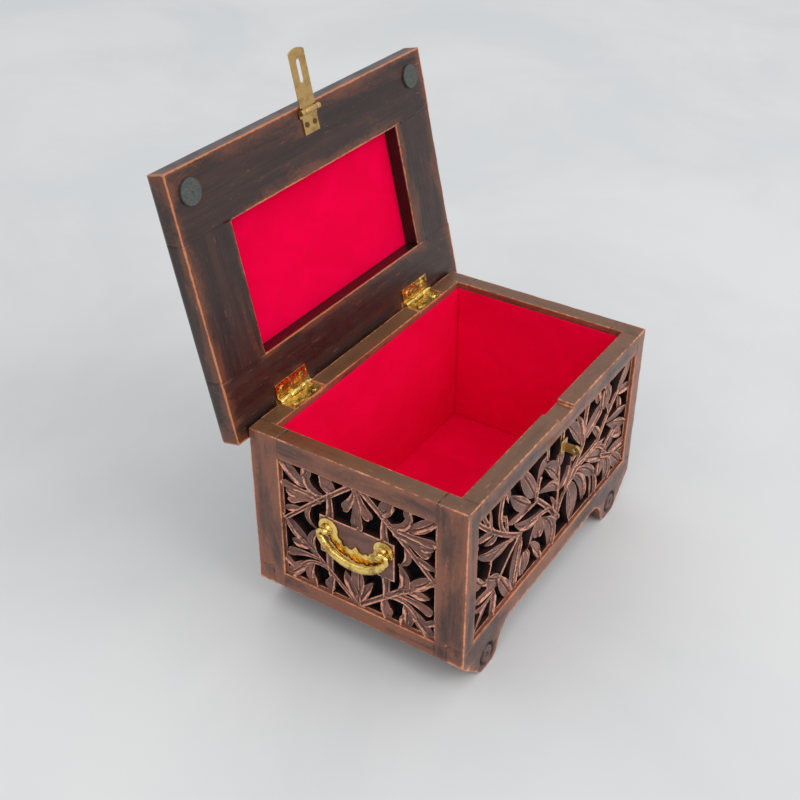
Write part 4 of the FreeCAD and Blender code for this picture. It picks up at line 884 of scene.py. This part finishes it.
def carvings():
    step = 0.62
    face = FACE_LEFT + FACE_RIGHT + FACE_MIDDLE
    place, size = panel_frame("front_carved_panel", (1, 0, 0), (0, -1, 0))
    wide, high, thick = size.x / MM, size.z / MM, size.y / MM
    field = carved_field(face, wide, high, step, thick, 1.8)
    carved_panel("front_carved_panel", "box", field, place, 1.0)
    place, _ = panel_frame("back_carved_panel", (-1, 0, 0), (0, 1, 0))
    carved_panel("back_carved_panel", "box", field, place, 2.0)
    ends = mirrored(END_STROKES) + END_MIDDLE
    place, size = panel_frame("left_carved_panel", (0, -1, 0), (-1, 0, 0))
    wide, high, thick = size.y / MM, size.z / MM, size.x / MM
    field = carved_field(ends, wide, high, step, thick, 1.6, solid=HANDLE_BLOCK)
    carved_panel("left_carved_panel", "box", field, place, 3.0)
    place, _ = panel_frame("right_carved_panel", (0, 1, 0), (1, 0, 0))
    carved_panel("right_carved_panel", "box", field, place, 4.0)
    low, high_corner = node_box("lid_carved_panel", LID_FRAME)
    span = (high_corner - low) / MM
    middle = (low + high_corner) / 2
    field = carved_field(face, span[0], span[1], step, span[2], 1.8, scale_u=span[0] / wide_face(),
                         scale_w=span[1] / FACE_HIGH)
    place = LID_FRAME @ Matrix.Translation(Vector((middle[0], middle[1], low[2])))
    carved_panel("lid_carved_panel", "lid", field, place, 5.0)


def wide_face():
    low, high = corners("front_carved_panel")
    return (high.x - low.x) / MM


def velvet_card(node, body, local=IDENTITY, puff=0.00025):
    """A velvet-covered card: soft rounded edges and a slightly uneven pile, in place of its plain solid."""
    bm = welded(node, local)
    bmesh.ops.bevel(bm, geom=sharp_edges(bm, 35), offset=0.0004, segments=3, profile=0.5, affect="EDGES",
                    clamp_overlap=True)
    slice_up(bm, spacing=0.006, near=0.002)
    bmesh.ops.triangulate(bm, faces=[f for f in bm.faces if len(f.verts) > 4])
    bm.normal_update()
    seed = len(node) * 1.3
    moves = [v.normal * -(puff * waviness(v.co * 1.7, seed)) for v in bm.verts]
    for v, move in zip(bm.verts, moves):
        v.co += move
    bmesh.ops.transform(bm, matrix=local, verts=bm.verts)
    mesh = as_mesh(bm, node + "_cloth", VELVET)
    mesh.shade_smooth()
    piece = shown(mesh, node + "_cloth")
    claim(piece, body, node)


# ------------------------------------------------------------
# Metal and the rest: CAD solids with finishes and eased edges
# ------------------------------------------------------------
def finish_node(node, material, ease=0.0, degrees=30):
    piece = NODES[node]
    piece.data.materials.clear()
    piece.data.materials.append(material)
    if ease:
        weld = piece.modifiers.new("weld", "WELD")
        weld.merge_threshold = WELD_GAP
        bevel = piece.modifiers.new("ease", "BEVEL")
        bevel.width = ease
        bevel.segments = 2
        bevel.limit_method = "ANGLE"
        bevel.angle_limit = math.radians(degrees)
        bevel.harden_normals = False


def skinned(rings, place, name):
    """A closed brass piece stretched over rings of points given in millimetres."""
    bm = bmesh.new()
    loops = [[bm.verts.new(place @ (Vector(p) * MM)) for p in ring] for ring in rings]
    sides = len(loops[0])
    for a, b in zip(loops, loops[1:]):
        for j in range(sides):
            bm.faces.new((a[j], a[(j + 1) % sides], b[(j + 1) % sides], b[j]))
    bm.faces.new(list(reversed(loops[0])))
    bm.faces.new(loops[-1])
    bmesh.ops.recalc_face_normals(bm, faces=bm.faces)
    mesh = as_mesh(bm, name, BRASS)
    mesh.shade_smooth()
    return shown(mesh, name)


def turns(sides):
    return [2 * math.pi * j / sides for j in range(sides)]


def sweep(path, wide, thick, place, name, sides=18):
    """A bar of oval section along a flat path: half widths in its plane and half thickness through it."""
    path, wide, thick = np.array(path), np.array(wide), np.array(thick)
    way = np.gradient(path, axis=0)
    way /= np.linalg.norm(way, axis=1)[:, None]
    normal = np.stack([-way[:, 1], way[:, 0]], axis=1)
    rings = []
    for k in range(len(path)):
        ring = []
        for a in turns(sides):
            out = normal[k] * wide[k] * math.cos(a)
            ring.append((path[k][0] + out[0], path[k][1] + out[1], thick[k] * math.sin(a)))
        rings.append(ring)
    return skinned(rings, place, name)


def circle_through(a, b, c):
    """Centre and radius of the circle through three points of the plane."""
    (ax, ay), (bx, by), (cx, cy) = a, b, c
    aa, bb, cc = ax * ax + ay * ay, bx * bx + by * by, cx * cx + cy * cy
    d = 2 * (ax * (by - cy) + bx * (cy - ay) + cx * (ay - by))
    ux = (aa * (by - cy) + bb * (cy - ay) + cc * (ay - by)) / d
    uy = (aa * (cx - bx) + bb * (ax - cx) + cc * (bx - ax)) / d
    return ux, uy, math.hypot(ax - ux, ay - uy)


ARM_OUT, ARM_IN, ARM_DOWN = 28.2, 24.8, 4.0
BAIL_DROP, BAIL_RISE = 23.6, 16.6
PIN_END, BORE_RADIUS = 19.2, 1.26
POST_APART, POST_UP, LOBE_RADIUS = 21.4, 7.5, 7.4
HEAD_RADIUS, HEAD_START = 2.35, 0.86


def handle_frame(side):
    """The frame at a bail's pivot: u to the right as seen from outside, height outwards."""
    sx = -1.0 if side == "left" else 1.0
    return facing(Vector(JOINTS[side + "_bail_hinge"]["pos_m"]), (0, sx, 0), (sx, 0, 0))


def bail(side):
    """A cast crescent bail: thick and rounded below, with arms that turn in to the posts."""
    middle = (ARM_OUT + ARM_IN) / 2
    deep = (BAIL_DROP + BAIL_RISE) / 2
    cx, cy, r = circle_through((-middle, -ARM_DOWN), (0.0, -deep), (middle, -ARM_DOWN))
    start = math.atan2(-ARM_DOWN - cy, -middle - cx)
    end = math.atan2(-ARM_DOWN - cy, middle - cx)
    if start > 0:
        start -= 2 * math.pi
    path = [(-PIN_END, 0.0), (-22.4, 0.0), (-24.6, -0.1), (-25.8, -0.7), (-26.3, -1.8), (-26.4, -3.0)]
    wide = [1.2, 1.25, 1.5, 1.7, 1.75, 1.8]
    thick = [1.2, 1.3, 1.7, 2.0, 2.1, 2.1]
    for k in range(41):
        t = k / 40
        a = start + (end - start) * t
        swell = math.sin(math.pi * t) ** 0.8
        path.append((cx + r * math.cos(a), cy + r * math.sin(a)))
        wide.append(1.8 + ((BAIL_DROP - BAIL_RISE) / 2 - 1.8) * swell)
        thick.append(2.1 + 0.1 * swell)
    path += [(-u, w) for u, w in reversed(path[:6])]
    wide += list(reversed(wide[:6]))
    thick += list(reversed(thick[:6]))
    piece = sweep(path, wide, thick, handle_frame(side), side + "_bail_cast")
    claim(piece, side + "_bail", side + "_bail")


def lathe(profile, place, name, sides=24):
    """A turned piece about its own third axis, from pairs of radius and height."""
    rings = [[(r * math.cos(a), r * math.sin(a), height) for a in turns(sides)] for r, height in profile]
    return skinned(rings, place, name)


def bore(piece, cutter):
    """Cuts the cutter out of the piece and removes it."""
    cut = piece.modifiers.new("bore", "BOOLEAN")
    cut.object = cutter
    cut.operation = "DIFFERENCE"
    cut.solver = "EXACT"
    graph = bpy.context.evaluated_depsgraph_get()
    made = bpy.data.meshes.new_from_object(piece.evaluated_get(graph))
    piece.modifiers.clear()
    piece.data = made
    made.set_sharp_from_angle(angle=math.radians(40))
    bpy.data.objects.remove(cutter)


def posts(side):
    """Two turned posts: a collar on the plate, a neck, and a round head that holds the bail's pin."""
    place = handle_frame(side)
    profile = [(1.45, -5.0), (1.45, -3.7), (2.55, -3.35), (2.6, -3.0), (2.3, -2.6), (1.8, -2.2)]
    for k in range(11):
        a = -HEAD_START + (math.pi / 2 + HEAD_START) * k / 10
        profile.append((HEAD_RADIUS * math.cos(a) if k < 10 else 0.2, HEAD_RADIUS * math.sin(a)))
    across = Matrix.Rotation(math.pi / 2, 4, "Y")
    for s, tag in ((-1, "a"), (1, "b")):
        there = place @ Matrix.Translation(Vector((s * POST_APART * MM, 0, 0)))
        piece = lathe(profile, there, side + "_post_" + tag)
        bore(piece, lathe([(BORE_RADIUS, -4.0), (BORE_RADIUS, 4.0)], there @ across, "cutter"))
        claim(piece, "box", side + "_handle_posts")


def plate_field(step):
    """Cast relief of a handle plate: two domed lobes with a scroll line, and a thin swelled band."""
    us = np.arange(-30.0, 30.0 + step, step)
    ws = np.arange(-14.0, 16.0 + step, step)
    U, W = np.meshgrid(us, ws)
    half = [(0.0, 1.6), (2.6, -2.0), (5.2, -2.6), (7.6, -1.0), (9.6, -2.0), (11.2, 1.2), (13.4, 2.6),
            (14.6, 6.0)]
    low = [(21.0, -3.4), (15.0, -8.6), (8.0, -11.4), (0.0, -12.6)]
    points = half + [(22.0, 6.0)] + low
    ring = points + [(-u, w) for u, w in reversed(points[1:-1])]
    crossings = np.zeros(U.shape, bool)
    gap = np.full(U.shape, 1e9)
    for (u0, w0), (u1, w1) in zip(ring, ring[1:] + ring[:1]):
        k = np.clip(((U - u0) * (u1 - u0) + (W - w0) * (w1 - w0)) / ((u1 - u0) ** 2 + (w1 - w0) ** 2), 0, 1)
        gap = np.minimum(gap, np.hypot(U - u0 - k * (u1 - u0), W - w0 - k * (w1 - w0)))
        if w0 != w1:
            straddles = (w0 > W) != (w1 > W)
            crossings ^= straddles & (U < u0 + (W - w0) * (u1 - u0) / (w1 - w0))
    inside = np.where(crossings, gap, -gap)
    height = 0.75 + 0.5 * np.clip(inside / 2.2, 0, 1) ** 0.6
    for s in (-1, 1):
        away = np.hypot(U - s * POST_APART, W - POST_UP)
        lobe = LOBE_RADIUS - away
        q = np.clip(away / LOBE_RADIUS, 0, 1)
        turn = np.arctan2(W - POST_UP, s * (U - s * POST_APART))
        scroll = ridge(q, 0.62 + 0.06 * np.sin(turn), 0.1)
        dome = 0.75 + 0.85 * (1 - q ** 2.4) + 0.35 * scroll - 0.45 * ridge(q, 0.42, 0.12)
        height = np.where(lobe > -0.4, np.maximum(dome, height * (lobe < 1.5)), height)
        inside = np.maximum(inside, lobe)
    return us, ws, inside, height


def plate(side):
    """A cast back plate behind a bail, standing on the panel's block."""
    node = side + "_handle_plate"
    sx = -1.0 if side == "left" else 1.0
    low, high = corners(node)
    pivot = Vector(JOINTS[side + "_bail_hinge"]["pos_m"])
    back = high.x if sx < 0 else low.x
    place = facing(Vector((back, pivot.y, pivot.z - POST_UP * MM)), (0, sx, 0), (sx, 0, 0))
    mesh = carved_mesh(node + "_cast", *plate_field(0.4), RELIEF, place, 1.0)
    mesh.materials.clear()
    mesh.materials.append(BRASS)
    claim(shown(mesh, node + "_cast"), "box", node)


def hardware():
    for side in ("left", "right"):
        finish_node("box_hinge_leaf_" + side, BRASS, 0.00018)
        finish_node("lid_hinge_leaf_" + side, BRASS, 0.00018)
        plate(side)
        posts(side)
        bail(side)
        finish_node(side + "_backing", BLACK)
        finish_node("lid_bumper_" + side, RUBBER)
    for node in ("hinge_pins", "box_hinge_screws", "lid_hinge_screws"):
        finish_node(node, BRASS, 0.0001)
    for node in ("hasp_plate", "hasp_strap", "hasp_rivets", "hasp_pin", "staple"):
        finish_node(node, MARKS if node == "hasp_rivets" else SATIN, 0.00018)
    for node in ("front_backing", "back_backing", "lid_card"):
        finish_node(node, BLACK)
    finish_node("bottom_board", UNDER)


add_camera()
add_lights()
add_floor(floor_paint())
box_boards()
lid_boards()
carvings()
for card in ("velvet_front", "velvet_back", "velvet_left", "velvet_right", "velvet_floor"):
    velvet_card(card, "box")
velvet_card("lid_velvet", "lid", LID_FRAME, 0.0001)
hardware()

scene.view_settings.view_transform = "Standard"
